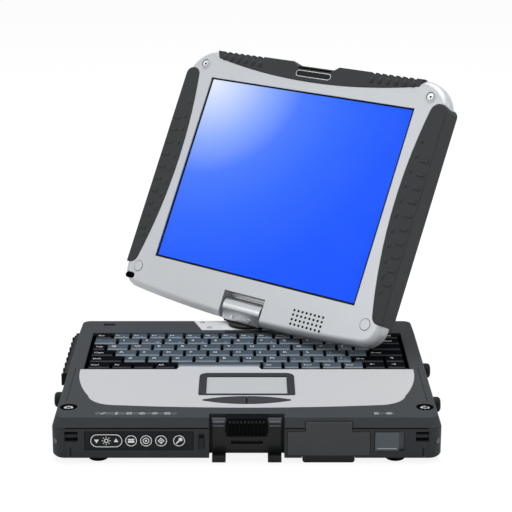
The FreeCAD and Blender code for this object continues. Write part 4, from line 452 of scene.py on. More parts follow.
def key_painted_light_finish(name, side, rim, top, gloss):
    material, shader, place = start_finish(name, Specular_IOR_Level=gloss)
    side, rim, top = linear(side), linear(rim), linear(top)
    normal = place.node("ShaderNodeTexCoord", {}, {}, "Normal")
    upright = normal.node("ShaderNodeSeparateXYZ", {}, {"Vector": normal}, 2)
    # Painted shade on the steep sides, a painted highlight on the rim, and the key's own colour on top.
    stops = [(SIDE_SHADE_END, side), (RIM_HIGHLIGHT_START, rim), (RIM_HIGHLIGHT_END, rim), (TOP_START, top)]
    tone = upright.node("ShaderNodeValToRGB", {"stops": stops}, {"Fac": upright})
    feed(shader, "Base Color", mix(place, noise(place, 60.0, 2.0) * 0.2, tone, shade(top, 0.7)))
    fine = noise(place, 1600.0, 2.0)
    feed(shader, "Roughness", fine * 0.18 + 0.44)
    relief = {"Strength": 0.5, "Distance": 0.00003, "Height": fine}
    feed(shader, "Normal", place.node("ShaderNodeBump", {}, relief))
    return material


letter_key = key_painted_light_finish("letter_key", "#171C21", "#A9B2BA", "#46525C", 0.02)
dark_key = key_painted_light_finish("dark_key", "#060708", "#565B61", "#111317", 0.0)
print("key finishes:", letter_key.name, dark_key.name)

# %% [markdown]
# ### Working with operators
# Blender's operators act on whatever is selected, as a hand does with the mouse. The pieces could also be
# written point by point, but operators show each step as it would be done by hand. These helpers keep that
# tidy: they clear the selection, pick what they need, and leave each piece at the origin with its place in
# its mesh.

# %% Helpers for modelling
def nothing_selected():
    if bpy.context.object and bpy.context.object.mode != "OBJECT":
        bpy.ops.object.mode_set(mode="OBJECT")
    bpy.ops.object.select_all(action="DESELECT")


def only(item):
    nothing_selected()
    item.select_set(True)
    bpy.context.view_layer.objects.active = item


def settled(item):
    bpy.ops.object.transform_apply(location=True, rotation=True, scale=True)
    return item


def cube(name, low, high):
    nothing_selected()
    low, high = Vector(low), Vector(high)
    bpy.ops.mesh.primitive_cube_add(size=1.0, location=(low + high) / 2)
    item = bpy.context.object
    item.name = name
    item.scale = high - low
    return settled(item)


def cylinder(radius, tall, middle, sides, turn=(0.0, 0.0, 0.0)):
    nothing_selected()
    bpy.ops.mesh.primitive_cylinder_add(
        vertices=sides, radius=radius, depth=tall, location=middle, rotation=turn
    )
    return settled(bpy.context.object)


def select_faces(item, test):
    bpy.ops.object.mode_set(mode="EDIT")
    bpy.ops.mesh.select_mode(type="FACE")
    bpy.ops.mesh.select_all(action="DESELECT")
    bpy.ops.object.mode_set(mode="OBJECT")
    for face in item.data.polygons:
        face.select = test(face)
    bpy.ops.object.mode_set(mode="EDIT")


# %% [markdown]
# ### Finishing and joining
# A bevel on the sharper edges keeps a piece from looking cut from paper. It could be done in edit mode,
# edge by edge, but a modifier finds the edges by their angle. Pieces of one kind are then joined, and
# shaded smooth except where two faces meet sharply.

# %% Helpers for finishing
SHARP_EDGE, SMOOTH_ANGLE = math.radians(25), math.radians(30)


def bevelled(item, width, segments=2):
    only(item)
    bevel = item.modifiers.new("soft_edges", "BEVEL")
    bevel.width = width
    bevel.segments = segments
    bevel.limit_method = "ANGLE"
    bevel.angle_limit = SHARP_EDGE
    bpy.ops.object.modifier_apply(modifier=bevel.name)
    return item


def joined(items, name):
    nothing_selected()
    for item in items:
        item.select_set(True)
    bpy.context.view_layer.objects.active = items[0]
    bpy.ops.object.join()
    items[0].name = name
    items[0].data.name = name
    return items[0]


def shaded(item):
    only(item)
    bpy.ops.object.shade_smooth_by_angle(angle=SMOOTH_ANGLE)
    return item


print("bevel above", round(math.degrees(SHARP_EDGE)), "degrees")
print("smooth below", round(math.degrees(SMOOTH_ANGLE)), "degrees")

# %% [markdown]
# ### One cap
# A real cap is moulded in one shot with a stem below. Here it starts as a cube: the top face is drawn in
# and pushed back, an inset of it is lowered for the dish, and a bevel rounds the edges. A subdivided cage
# would be smoother, but there are dozens of keys, and this shape needs few faces. The stem is a short
# bevelled cylinder.

# %% One cap and its stem
KEY_TALL, RIM_WIDTH, DISH, CAP_BEVEL = 2.9 * MM, 0.9 * MM, 0.22 * MM, 0.4 * MM
SLOPE = {"side": 0.9 * MM, "front": 1.9 * MM, "rear": 0.6 * MM}
STEM_RADIUS, STEM_BITE, STEM_BEVEL = 2.0 * MM, 0.2 * MM, 0.2 * MM


def key_cap(low, high):
    cap = cube("cap", (low.x, low.y, high.z - KEY_TALL), high)
    select_faces(cap, lambda face: face.normal.z > 0.9)
    width, depth = high.x - low.x, high.y - low.y
    drawn = ((width - 2 * SLOPE["side"]) / width, (depth - SLOPE["front"] - SLOPE["rear"]) / depth, 1.0)
    middle = ((low.x + high.x) / 2, (low.y + high.y) / 2, high.z)
    bpy.ops.transform.resize(value=drawn, center_override=middle)
    bpy.ops.transform.translate(value=(0.0, (SLOPE["front"] - SLOPE["rear"]) / 2, 0.0))
    bpy.ops.mesh.inset(thickness=RIM_WIDTH, depth=0.0)
    bpy.ops.transform.translate(value=(0.0, 0.0, -DISH))
    bpy.ops.object.mode_set(mode="OBJECT")
    return bevelled(cap, CAP_BEVEL)


def key_stem(low, high):
    tall = high.z - KEY_TALL - low.z
    middle = ((low.x + high.x) / 2, (low.y + high.y) / 2, low.z + tall / 2 + STEM_BITE)
    return bevelled(cylinder(STEM_RADIUS, tall, middle, 16), STEM_BEVEL, 1)


print("cap", round(KEY_TALL / MM, 1), "mm tall, dish", round(DISH / MM, 2), "mm deep")

# %% Caps for every row
DARK_ENDS = {
    "key_row_1": (4, 2),
    "key_row_2": (1, 2),
    "key_row_3": (1, 1),
    "key_row_4": (1, 1),
    "key_row_5": (0, 1),
    "key_row_6": (1, 1),
    "space_bar": (0, 0),
}


def is_dark(row, number, count):
    left, right = DARK_ENDS[row]
    return number < left or number >= count - right


for row, boxes in key_boxes.items():
    pieces = []
    for number, (low, high) in enumerate(boxes):
        finish = dark_key if is_dark(row, number, len(boxes)) else letter_key
        for piece in (key_cap(low, high), key_stem(low, high)):
            dress(piece, finish)
            pieces.append(piece)
    keys = shaded(joined(pieces, row + "_caps"))
    dress(nodes[row], letter_key)
    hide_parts(row)
    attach(keys, row)
    print(row, len(boxes), "caps,", len(keys.data.polygons), "faces")

# %% [markdown]
# ### Legends
# Letters and numbers are printed on the caps, at the left of the top, and a second sign in blue at the
# right of some. A picture of the legends would blur close up, so each text is typed, made a mesh, and laid
# a hair above the dish. All the print of one row becomes one piece that moves with its keys.

# %% Legend texts
LEGENDS = {
    "key_row_1": ["Ctrl", "Fn", "", "Alt", "Alt", "", "Ctrl", "Ins", "Del", "\u2190", "\u2192"],
    "key_row_2": ["Shift"] + list("ZXCVBNM,.") + ["/", "Shift", "\u2191"],
    "key_row_3": ["Caps"] + list("ASDFGHJKL") + [";", "'", "Enter"],
    "key_row_4": ["Tab"] + list("QWERTYUIO") + ["P", "[", "]", "-"],
    "key_row_5": ["`"] + list("1234567890") + ["-", "=", "Back"],
    "key_row_6": ["Esc"] + [f"F{number}" for number in range(1, 13)] + ["Num", "Prt", "Brk", "Del"],
}
SECOND_SIGNS = {
    "key_row_2": [""] * 8 + ["<", ">", "?"],
    "key_row_3": [""] * 10 + [":", '"'],
    "key_row_4": [""] * 11 + ["{", "}"],
    "key_row_5": ["~"] + list("!@#$%^&*()") + ["_", "+"],
    "key_row_6": [""] + ["o"] * 12,
}
print("legends:", sum(bool(text) for texts in LEGENDS.values() for text in texts))
print("second signs:", sum(bool(text) for texts in SECOND_SIGNS.values() for text in texts))

# %% Print the legends
LETTER, WORD, SIGN = 4.9 * MM, 3.7 * MM, 3.4 * MM
LETTER_IN, WORD_IN, LETTER_UP = 2.4 * MM, 1.3 * MM, 1.4 * MM
SIGN_IN, SIGN_UP = 5.6 * MM, 3.0 * MM
HALF_LINE, INK, INK_SINK = 0.36, 0.03 * MM, 0.2 * MM


def words(text, size, spot, material):
    nothing_selected()
    bpy.ops.object.text_add()
    item = bpy.context.object
    item.data.body = text
    item.data.size = size
    item.data.resolution_u = 2
    item.data.extrude = INK
    bpy.ops.object.convert(target="MESH")
    item = bpy.context.object
    item.data.transform(Matrix.Translation(spot))
    dress(item, material)
    return item


def main_legend(text, low, high):
    single = len(text) == 1
    size = LETTER if single else WORD
    left = low.x + SLOPE["side"] + (LETTER_IN if single else WORD_IN)
    middle = (low.y + SLOPE["front"] + high.y - SLOPE["rear"]) / 2
    base = middle + (LETTER_UP if single else 0.0) - size * HALF_LINE
    return words(text, size, (left, base, high.z - INK_SINK), legend_white)


def second_sign(text, low, high):
    return words(text, SIGN, (high.x - SIGN_IN, low.y + SIGN_UP, high.z - INK_SINK), legend_blue)


for row, legends in LEGENDS.items():
    prints = [main_legend(text, *box) for box, text in zip(key_boxes[row], legends) if text]
    signs = SECOND_SIGNS.get(row, [])
    prints += [second_sign(text, *box) for box, text in zip(key_boxes[row], signs) if text]
    legend = joined(prints, row + "_legends")
    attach(legend, row)
    print(row, "legends:", len(legend.data.polygons), "faces")

# %% [markdown]
# ## Flat prints
# The white rings on the buttons, the small status signs and the plate on the bumper are flat prints or thin
# plates. They could be pictures, but shapes stay sharp from near by. Each is drawn in a plane of its own, x
# to the right and y up, in millimetres: a disc, a bar made by moving the corners of a square, a pill made
# by pulling a disc apart, and a ring by insetting one of these and taking out its middle.

# %% Flat shapes
def disc(x, y, radius, sides=32, turn=0.0):
    nothing_selected()
    spot = (x * MM, y * MM, 0.0)
    bpy.ops.mesh.primitive_circle_add(
        vertices=sides, radius=radius * MM, fill_type="NGON", location=spot, rotation=(0.0, 0.0, turn)
    )
    return settled(bpy.context.object)


def bar(x, y, width, height, turn=0.0):
    nothing_selected()
    bpy.ops.mesh.primitive_plane_add(size=MM, location=(x * MM, y * MM, 0.0), rotation=(0.0, 0.0, turn))
    bpy.context.object.scale = (width, height, 1.0)
    return settled(bpy.context.object)


def pill(x, y, width, height):
    item = disc(x, y, height / 2, 40)
    grow = (width - height) / 2 * MM
    for sign in (-1, 1):
        bpy.ops.object.mode_set(mode="EDIT")
        bpy.ops.mesh.select_mode(type="VERT")
        bpy.ops.mesh.select_all(action="DESELECT")
        bpy.ops.object.mode_set(mode="OBJECT")
        for vert in item.data.vertices:
            vert.select = (vert.co.x - x * MM) * sign > 1e-7
        bpy.ops.object.mode_set(mode="EDIT")
        bpy.ops.transform.translate(value=(sign * grow, 0.0, 0.0))
        bpy.ops.object.mode_set(mode="OBJECT")
    return item


def hollow(item, rim):
    select_faces(item, lambda face: True)
    bpy.ops.mesh.inset(thickness=rim * MM, depth=0.0)
    bpy.ops.mesh.delete(type="FACE")
    bpy.ops.object.mode_set(mode="OBJECT")
    return item


print("flat shapes: disc, bar, pill and ring")

# %% [markdown]
# ### Laying a print in place
# A matrix lays the drawing plane on the front, the deck or the display. The shapes get a thickness by
# Solidify, so that they are thin plates with two sides and not single faces, and the place is then applied
# to the mesh.

# %% Laying prints
def plane_on_front(y):
    return Matrix.Translation((0.0, y, 0.0)) @ Matrix.Rotation(math.pi / 2, 4, "X")


def plane_on_deck(z):
    return Matrix.Translation((0.0, 0.0, z))


def plane_on_display(z):
    return display_place @ Matrix.Translation((0.0, 0.0, z))


def fitted(piece, body, material):
    dress(piece, material)
    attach(piece, body)
    return piece


def printed(items, name, body, material, plane, thick=0.08):
    piece = joined(items, name)
    solid = piece.modifiers.new("film", "SOLIDIFY")
    solid.thickness = thick * MM
    solid.offset = 0.0
    bpy.ops.object.modifier_apply(modifier=solid.name)
    piece.matrix_world = plane
    return fitted(settled(piece), body, material)


def middle_of(name):
    low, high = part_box(name)
    return (low + high) / 2 / MM


print("touchpad's middle, in mm:", [round(value, 1) for value in middle_of("touchpad")])

# %% [markdown]
# ### Signs on the front buttons
# Each round button has a white ring with a plain sign in it, and the long rocker has a sun between two
# arrows. On the real buttons the signs are printed and may be lit. Each one here is built from a few flat
# shapes around the middle of its button, which is measured.

# %% Button signs
RING_RADIUS, RING_LINE = 4.1, 0.55
button_plane = plane_on_front(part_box("front_button_1")[0].y)


def keyboard_sign(x, z):
    return [bar(x, z + 0.9, 4.4, 1.1), bar(x, z - 0.7, 4.4, 1.6)]


def target_sign(x, z):
    return [hollow(disc(x, z, 2.3), 0.6), disc(x, z, 0.8, 16)]


def diamond_sign(x, z):
    return [hollow(disc(x, z, 2.4, 4), 0.7), disc(x, z, 0.7, 4)]


def key_sign(x, z):
    return [disc(x + 1.0, z + 1.0, 1.4, 20), bar(x - 0.9, z - 0.9, 3.0, 1.0, math.pi / 4)]


for name, sign in zip(FRONT_BUTTONS[1:], [keyboard_sign, target_sign, diamond_sign, key_sign]):
    x, _, z = middle_of(name)
    shapes = [hollow(disc(x, z, RING_RADIUS), RING_LINE)] + sign(x, z)
    printed(shapes, name + "_sign", name, legend_white, button_plane)
    print(name, "has a", sign.__name__)

# %% Brightness sign
RIM_WIDE, RIM_TALL, ARROW_OUT, ARROW_SIZE, RAY_OUT, RAYS = 22.2, 9.6, 6.8, 1.9, 2.6, 8
x, _, z = middle_of("brightness_rocker")
shapes = [hollow(pill(x, z, RIM_WIDE, RIM_TALL), RING_LINE), hollow(disc(x, z, 1.6, 20), 0.6)]
shapes += [disc(x - ARROW_OUT, z, ARROW_SIZE, 3, math.pi), disc(x + ARROW_OUT, z, ARROW_SIZE, 3)]
for step in range(RAYS):
    angle = step * 2 * math.pi / RAYS
    shapes.append(bar(x + RAY_OUT * math.cos(angle), z + RAY_OUT * math.sin(angle), 1.0, 0.5, angle))
printed(shapes, "brightness_sign", "brightness_rocker", legend_white, button_plane)
print("brightness sign with", RAYS, "rays")

# %% [markdown]
# ### Status signs
# Behind the front edge, small grey signs in tinted windows show what is switched on. What each one means
# isn't known, so they are plain shapes, named for how they look. They are drawn on the face of the windows
# from left to right.

# %% Status signs
SLASH, AERIAL, SHEET, RING, HEXAGON, BOX = -100.2, -90.9, -82.0, -73.1, -64.2, -55.4
CELL, TARGET = 90.4, 99.3
y = middle_of("status_windows")[1]
windows_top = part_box("status_windows")[1].z
marks = [bar(SLASH, y, 4.6, 0.9, 0.8)]
marks += [disc(AERIAL, y + 1.3, 1.0, 12), bar(AERIAL, y - 0.6, 0.8, 2.8), bar(AERIAL, y - 2.0, 2.6, 0.7)]
marks += [hollow(bar(SHEET, y, 3.4, 4.2), 0.6), bar(SHEET, y, 1.4, 0.8)]
marks += [hollow(disc(RING, y, 2.1, 20), 0.6), bar(RING, y, 0.7, 2.2)]
marks += [hollow(disc(HEXAGON, y, 2.1, 6), 0.6), bar(HEXAGON, y, 0.7, 1.4)]
marks += [hollow(bar(BOX, y, 3.8, 4.0), 0.7), bar(BOX, y, 1.8, 0.9)]
marks += [hollow(bar(CELL, y, 2.8, 4.0), 0.6), bar(CELL, y, 1.0, 1.4)]
marks += [hollow(disc(TARGET, y, 2.1, 20), 0.6), disc(TARGET, y, 0.8, 12)]
printed(marks, "status_signs", "base", legend_grey, plane_on_deck(windows_top))
print("status signs from", len(marks), "shapes")

# %% [markdown]
# ### Seams and the bumper's plate
# A dark seam runs along the front where the two halves of the casing meet, and stops at the latch's bay and
# at the battery's head. It could be a groove, but it is less than a millimetre wide, so a dark line gives
# the same look. The bumper on top of the display has a slot for the latch's hook, drawn as a flat black bar
# that is painted shade for the inside of the slot, and below it a bare plate with a silver rim.

# %% Seams
SEAM_HEIGHT, SEAM_LINE, FRONT_LINE = 26.0, 0.7, -109.0
CORNER, BAY_HALF, HEAD_LEFT, HEAD_RIGHT = 126.0, 26.6, 40.4, 73.4
spans = [(-CORNER, -BAY_HALF), (BAY_HALF, HEAD_LEFT), (HEAD_RIGHT, CORNER)]
seams = [bar((low + high) / 2, SEAM_HEIGHT, high - low, SEAM_LINE) for low, high in spans]
printed(seams, "front_seams", "base", black_and_painted_shade, plane_on_front(FRONT_LINE * MM))
print("seam in", len(spans), "lengths")

# %% The bumper's slot and plate
BUMPER_FRONT, SLOT_HEIGHT, PLATE_HEIGHT = 8.95, 203.7, 199.0
bumper_plane = plane_on_display(BUMPER_FRONT * MM)
# The slot is a flat black bar: painted shade for its inside.
slot = [bar(0.0, SLOT_HEIGHT, 34.0, 1.3)]
printed(slot, "bumper_slot_shade", "display", black_and_painted_shade, bumper_plane)
rim = [hollow(pill(0.0, PLATE_HEIGHT, 36.0, 5.4), 0.45)]
printed(rim, "bumper_plate_rim", "display", steel, bumper_plane)
plate = [pill(0.0, PLATE_HEIGHT, 35.0, 4.4)]
printed(plate, "bumper_plate", "display", black_plastic, bumper_plane)
print("bumper slot, plate and rim at", PLATE_HEIGHT, "mm up the display")

# %% [markdown]
# ### Small dark details
# The touchpad's frame is closed in front by a thin rail, the battery's slide has a pale line across it, and
# the speaker's holes and the cord's eye at the left of the display look black. The holes themselves are in
# the solids. A black disc in each hole and a black pill in the eye are painted shade for the dark inside,
# where a deeper hole would need more of the inside.

# %% Small dark details
RAIL_FRONT, RAIL_HEIGHT = -61.7, 33.25
rail = [pill(0.0, RAIL_FRONT, 69.6, 2.6)]
printed(rail, "pad_rail", "base", pad_frame, plane_on_deck(RAIL_HEIGHT * MM), 0.3)
SLIDE_MIDDLE, SLIDE_HEIGHT = 97.4, 11.2
slide_plane = plane_on_front(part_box("battery_latch")[0].y)
line = [bar(SLIDE_MIDDLE, SLIDE_HEIGHT, 13.4, 0.6)]
printed(line, "slide_line", "battery_latch", legend_grey, slide_plane)
COLUMNS = [52.4 + 4.1 * column for column in range(8)]
ROWS = [3.7 * row - 1.5 for row in range(4)]
HOLE_RADIUS, HOLE_FACE = 1.05, 8.5
# Black discs over the speaker's holes are painted shade for their insides.
holes = [disc(x, y, HOLE_RADIUS, 16) for x in COLUMNS for y in ROWS]
printed(holes, "speaker_hole_shade", "display", black_and_painted_shade, plane_on_display(HOLE_FACE * MM))
EYE_PLACE, EYE_FACE = (-129.0, 3.6), 5.2
# A black pill in the cord's eye is painted shade for its inside.
eye_shade = [pill(*EYE_PLACE, 11.0, 5.0)]
eye_plane = plane_on_display(EYE_FACE * MM)
printed(eye_shade, "cord_eye_shade", "display", black_and_painted_shade, eye_plane, 0.3)
print("rail, slide line, liner and", len(holes), "speaker holes")

# %% [markdown]
# ## Screws
# The bright screws are pan heads with a socket, pressed from steel wire. A profile could be spun, but a
# cylinder is as good here: its top is inset and sunk for the socket, and its edges are softened. One head
# is modelled for each size. The rest are copies, each with its own mesh.

# %% One screw head and its copies
SOCKET_RIM, SOCKET_DEEP, HEAD_BEVEL = 0.58, 0.5, 0.3 * MM


def screw_head(radius, height):
    item = cylinder(radius * MM, height * MM, (0.0, 0.0, height / 2 * MM), 32)
    select_faces(item, lambda face: face.normal.z > 0.9)
    bpy.ops.mesh.inset(thickness=radius * SOCKET_RIM * MM, depth=0.0)
    bpy.ops.transform.translate(value=(0.0, 0.0, -height * SOCKET_DEEP * MM))
    bpy.ops.object.mode_set(mode="OBJECT")
    return bevelled(item, HEAD_BEVEL)


def placed_copies(item, name, places):
    copies = []
    for place in places:
        copy = item.copy()
        copy.data = item.data.copy()
        bpy.context.scene.collection.objects.link(copy)
        copy.matrix_world = place
        only(copy)
        copies.append(settled(copy))
    bpy.data.objects.remove(item)
    return shaded(joined(copies, name))


print("socket takes", SOCKET_DEEP, "of a head's height")

# %% Deck screws
DECK_SCREWS = [(-125.5, -86.2), (125.5, -86.2)]
SCREW_FLOOR, SCREW_TOP, DECK_TOP = 31.25, 32.75, 33.0
places = [Matrix.Translation((x * MM, y * MM, SCREW_FLOOR * MM)) for x, y in DECK_SCREWS]
heads = placed_copies(screw_head(3.4, SCREW_TOP - SCREW_FLOOR), "deck_screw_heads", places)
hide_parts("deck_screws")
fitted(heads, "base", steel)
# The black ring around each head is painted shade for the cup it sits in, and the black cross on the head is
# painted shade for its cross recess.
cup_shade = [hollow(disc(x, y, 6.2), 2.5) for x, y in DECK_SCREWS]
printed(cup_shade, "deck_screw_cup_shade", "base", black_and_painted_shade, plane_on_deck(DECK_TOP * MM))
cross_shade = [bar(x, y, 4.4, 0.8, turn * math.pi / 4) for x, y in DECK_SCREWS for turn in (-1, 1)]
printed(cross_shade, "deck_screw_cross_shade", "base", black_and_painted_shade, plane_on_deck(SCREW_TOP * MM))
print("deck screws:", len(DECK_SCREWS), "with", len(heads.data.polygons), "faces")

# %% [markdown]
# ### Screws of the display and the swivel
# Two screws hold the display's upper corners, each in a raised collar. Round caps hide two more below, so
# only their edges are drawn. Three small screws fix the bright plate around the swivel.

# %% Display and swivel screws
CORNER_SCREWS, HIDDEN_SCREWS = [(-117.0, 195.5), (117.0, 195.5)], [(-120.5, 12.6), (120.5, 12.6)]
HEAD_SEAT, COLLAR_SEAT, SOCKET_SEAT, CAP_SEAT = [plane_on_display(z * MM) for z in (8.4, 8.6, 8.78, 8.52)]
places = [HEAD_SEAT @ Matrix.Translation((x * MM, y * MM, 0.0)) for x, y in CORNER_SCREWS]
heads = placed_copies(screw_head(2.6, 0.7), "display_screw_heads", places)
fitted(heads, "display", steel)
collars = [hollow(disc(x, y, 4.9), 1.0) for x, y in CORNER_SCREWS]
printed(collars, "display_screw_collars", "display", silver_paint, COLLAR_SEAT, 0.5)
# A black hexagon in each socket is painted shade for its hollow.
sockets = [disc(x, y, 1.0, 6) for x, y in CORNER_SCREWS]
printed(sockets, "display_screw_socket_shade", "display", black_and_painted_shade, SOCKET_SEAT)
edges = [hollow(disc(x, y, 4.8), 0.4) for x, y in HIDDEN_SCREWS]
printed(edges, "cap_edges", "display", grip_plastic, CAP_SEAT, 0.12)
PLATE_SCREWS, PLATE_TOP = [(-36.0, 101.0), (-30.0, 88.0), (36.0, 101.0)], 33.2
places = [Matrix.Translation((x * MM, y * MM, PLATE_TOP * MM)) for x, y in PLATE_SCREWS]
heads = placed_copies(screw_head(2.0, 0.8), "swivel_plate_screws", places)
fitted(heads, "base", steel)
print("display screws:", len(CORNER_SCREWS), "swivel plate screws:", len(PLATE_SCREWS))

# %% [markdown]
# ## Corner guards
# The front corners of the base carry guards that take the knocks, each held by a screw. A guard is a
# quarter of a cylinder around the corner. It could be an arc extruded upwards, but cutting a cylinder by
# two bisections, with the cuts filled, is shorter and leaves a closed solid.

# %% Corner guards
GUARD_CENTRE = (126.5, -100.0)
GUARD_RADIUS, GUARD_LOW, GUARD_HIGH, GUARD_BEVEL = 9.3, 5.2, 25.2, 0.25 * MM


def bisected(item, point, normal):
    bpy.ops.object.mode_set(mode="EDIT")
    bpy.ops.mesh.select_all(action="SELECT")
    bpy.ops.mesh.bisect(plane_co=point, plane_no=normal, clear_inner=True, use_fill=True)
    bpy.ops.object.mode_set(mode="OBJECT")


guards = []
for side in (-1, 1):
    spot = Vector((side * GUARD_CENTRE[0], GUARD_CENTRE[1], (GUARD_LOW + GUARD_HIGH) / 2)) * MM
    guard = cylinder(GUARD_RADIUS * MM, (GUARD_HIGH - GUARD_LOW) * MM, spot, 64)
    bisected(guard, spot, (side, 0.0, 0.0))
    bisected(guard, spot, (0.0, -1.0, 0.0))
    guards.append(bevelled(guard, GUARD_BEVEL))
guards = fitted(shaded(joined(guards, "corner_guards")), "base", casing_painted_shade)
print("corner guards:", len(guards.data.polygons), "faces")

# %% Guard screws
SCREW_HEIGHT, SCREW_BITE = 16.0, 0.1
reach = (GUARD_RADIUS - SCREW_BITE) / math.sqrt(2)
places = []
for side in (-1, 1):
    turn = Matrix.Rotation(side * math.pi / 4, 4, "Z") @ Matrix.Rotation(math.pi / 2, 4, "X")
    spot = Vector(((GUARD_CENTRE[0] + reach) * side, GUARD_CENTRE[1] - reach, SCREW_HEIGHT)) * MM
    places.append(Matrix.Translation(spot) @ turn)
heads = placed_copies(screw_head(2.2, 0.6), "guard_screws", places)
fitted(heads, "base", knob_plastic)
print("guard screws:", len(places))

# %% [markdown]
# ## Nubs on the grips and the bumper
# Rows of low nubs on the grips and the bumper keep wet hands from slipping. On the real pieces they are
# moulded in. A bump map would fail on the outline, so one nub is modelled, a flattened sphere with its
# underside cut off, and copied along the curve of the grip's inner edge.

# %% Grip nubs
GRIP_FRONT, NUB_SINK = 8.8, 0.2
GRIP_BOW, GRIP_MIDDLE, GRIP_INNER, NUB_IN = 385.0, 112.0, 113.4, 5.5
FIRST_NUB, NUB_PITCH, NUB_COUNT = 40.0, 12.0, 11


def nub(width, depth, tall):
    nothing_selected()
    bpy.ops.mesh.primitive_uv_sphere_add(segments=16, ring_count=8, radius=MM)
    item = bpy.context.object
    item.scale = (width / 2, depth / 2, tall)
    settled(item)
    bisected(item, (0.0, 0.0, -NUB_SINK * MM), (0.0, 0.0, 1.0))
    return item


def on_grip(x, y):
    return display_place @ Matrix.Translation((x * MM, y * MM, GRIP_FRONT * MM))


places = []
for side in (-1, 1):
    for step in range(NUB_COUNT):
        y = FIRST_NUB + NUB_PITCH * step
        inner = GRIP_INNER + (y - GRIP_MIDDLE) ** 2 / (2 * GRIP_BOW)
        places.append(on_grip(side * (inner + NUB_IN), y))
nubs = placed_copies(nub(3.2, 5.0, 0.8), "grip_nubs", places)
fitted(nubs, "display", grip_plastic)
print("nubs on the grips:", len(places))

# %% Bumper nubs
FIRST_OUT, PITCH_OUT, FIRST_UP, RISE, EACH_SIDE = 58.0, 8.0, 202.0, 0.3, 6
places = []
for side in (-1, 1):
    for step in range(EACH_SIDE):
        places.append(on_grip((FIRST_OUT + PITCH_OUT * step) * side, FIRST_UP + RISE * step))
nubs = placed_copies(nub(4.4, 6.0, 1.3), "bumper_nubs", places)
fitted(nubs, "display", grip_plastic)
print("nubs on the bumper:", len(places))

# %% [markdown]
# ## Ridges and ribs
# Two ridges across each arm of the latch give the finger a hold, and their pale colour is a painted
# highlight on the stepped knuckles. Tall ribs on the long left cover give a hold for opening it. Both could
# be part of the solids, but they are trim of a millimetre. A ridge is a thin bevelled cylinder. A rib is a
# bevelled block, modelled once and copied along the cover, with which it swings.

# %% Latch ridges
RIDGE_RADIUS, RIDGE_LONG, RIDGE_BEVEL, ARM_MIDDLE = 0.85, 8.2, 0.2 * MM, 19.5
RIDGES = [(-108.95, 30.9), (-108.35, 28.0)]
highlight_ridges = []
for side in (-1, 1):
    for y, z in RIDGES:
        spot = (side * ARM_MIDDLE * MM, y * MM, z * MM)
        ridge = cylinder(RIDGE_RADIUS * MM, RIDGE_LONG * MM, spot, 20, (0.0, math.pi / 2, 0.0))
        highlight_ridges.append(bevelled(ridge, RIDGE_BEVEL))
# The pale knob plastic on the ridges is a painted highlight on the black latch.
highlight_ridges = fitted(shaded(joined(highlight_ridges, "latch_highlight_ridges")), "display_latch", knob_plastic)
print("latch ridges:", len(highlight_ridges.data.polygons), "faces")

# %% Cover ribs
RIB_LOW, RIB_HIGH, RIB_BEVEL = Vector((-140.9, -1.6, 14.4)) * MM, Vector((-138.6, 1.6, 23.6)) * MM, 0.5 * MM
FIRST_RIB, LAST_RIB, RIB_PITCH = 8, 92, 12
places = [Matrix.Translation((0.0, y * MM, 0.0)) for y in range(FIRST_RIB, LAST_RIB + 1, RIB_PITCH)]
ribs = placed_copies(bevelled(cube("rib", RIB_LOW, RIB_HIGH), RIB_BEVEL), "left_cover_ribs", places)
fitted(ribs, "left_ribbed_cover", cover_rubber)
print("ribs on the left cover:", len(places))

# %% [markdown]
# ## The hinge lip
# In the notch of the display, a lip closes the space above the hinge barrel. It could be modelled where it
# stands, but there all its sides lean. So a small bevelled bar is made in the display's own frame, where
# its sides are straight, and then laid in place by the display's matrix.

# %% Hinge lip
LIP_LOW, LIP_HIGH, LIP_BEVEL = Vector((-21.4, 8.9, -6.8)) * MM, Vector((21.4, 11.6, 0.8)) * MM, 0.3 * MM
lip = bevelled(cube("hinge_lip", LIP_LOW, LIP_HIGH), LIP_BEVEL)
lip.matrix_world = display_place
fitted(shaded(settled(lip)), "display", silver_paint)
print("hinge lip:", len(lip.data.polygons), "faces")

# %% [markdown]
# ## The studio
# A pale floor and soft light from above and from both sides, as in a catalogue photograph. A white
# background could come from more light, but that would bleach the object. So the floor glows a little for
# the camera alone, and the world is white for the camera, mirrors and glass, while the object is lit by
# less.

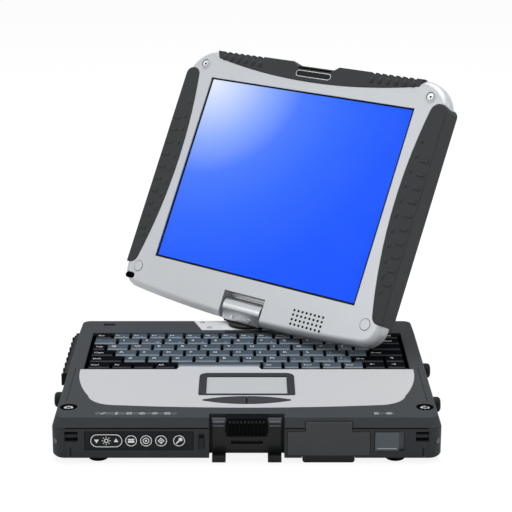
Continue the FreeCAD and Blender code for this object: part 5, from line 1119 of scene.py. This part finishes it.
# %% Floor
FLOOR_SIZE, FLOOR_BACK, FLOOR_GREY, FLOOR_GLOW, GLOW_SHARE = 12.0, 2.0, 0.86, 1.08, 0.82
scene = bpy.context.scene
scene.view_settings.view_transform = "Standard"
nothing_selected()
bpy.ops.mesh.primitive_plane_add(size=FLOOR_SIZE, location=(0.0, FLOOR_BACK, 0.0))
floor = settled(bpy.context.object)
floor.name = "floor"
floor_paint = bpy.data.materials.new("floor_paint")
floor_paint.use_nodes = True
tree = floor_paint.node_tree
tree.nodes.remove(tree.nodes["Principled BSDF"])
seen = Wire(tree, tree.nodes.new("ShaderNodeLightPath").outputs["Is Camera Ray"])
diffuse = seen.node("ShaderNodeBsdfDiffuse", {}, {"Color": (FLOOR_GREY, FLOOR_GREY, FLOOR_GREY, 1.0)})
glow = seen.node("ShaderNodeEmission", {}, {"Color": (1.0, 1.0, 1.0, 1.0), "Strength": FLOOR_GLOW})
surface = seen.node("ShaderNodeMixShader", {}, {0: seen * GLOW_SHARE, 1: diffuse, 2: glow})
plug(tree, tree.nodes["Material Output"].inputs["Surface"], surface)
floor.data.materials.append(floor_paint)
print("floor of", FLOOR_SIZE, "m")

# %% World
AMBIENT = 0.45
world = bpy.data.worlds.new("studio")
scene.world = world
world.use_nodes = True
tree = world.node_tree
background = tree.nodes["Background"]
background.inputs["Color"].default_value = (1.0, 1.0, 1.0, 1.0)
rays = tree.nodes.new("ShaderNodeLightPath")
seen = Wire(tree, rays.outputs["Is Camera Ray"])
for kind in ("Is Glossy Ray", "Is Transmission Ray"):
    seen = seen.math("MAXIMUM", seen, Wire(tree, rays.outputs[kind]))
plug(tree, background.inputs["Strength"], seen * (1 - AMBIENT) + AMBIENT)
print("world lights the object at", AMBIENT)

# %% [markdown]
# ### The lamps
# The lamps are large discs, so shadows are soft and metal shows broad, even reflections. Most light comes
# from above and a little behind, which leaves the front of the casing darker than the deck, and the darker
# paint of the lower casing adds painted shade there. The two at the sides light the display.

# %% Lamps
def lamp(name, place, target, size, power):
    data = bpy.data.lights.new(name, "AREA")
    data.shape = "DISK"
    data.size = size
    data.energy = power
    item = bpy.data.objects.new(name, data)
    item.location = place
    item.rotation_euler = (Vector(target) - Vector(place)).to_track_quat("-Z", "Y").to_euler()
    scene.collection.objects.link(item)
    print(name, power, "W")


DISPLAY_FOOT = (0.0, 0.05, 0.1)
lamp("top_lamp", (0.1, 0.2, 1.6), (0.0, 0.0, 0.0), 1.4, 17.5)
lamp("left_lamp", (-1.7, -0.55, 1.1), DISPLAY_FOOT, 1.0, 5.6)
lamp("right_lamp", (1.6, -0.3, 0.9), DISPLAY_FOOT, 1.0, 4.0)

# %% [markdown]
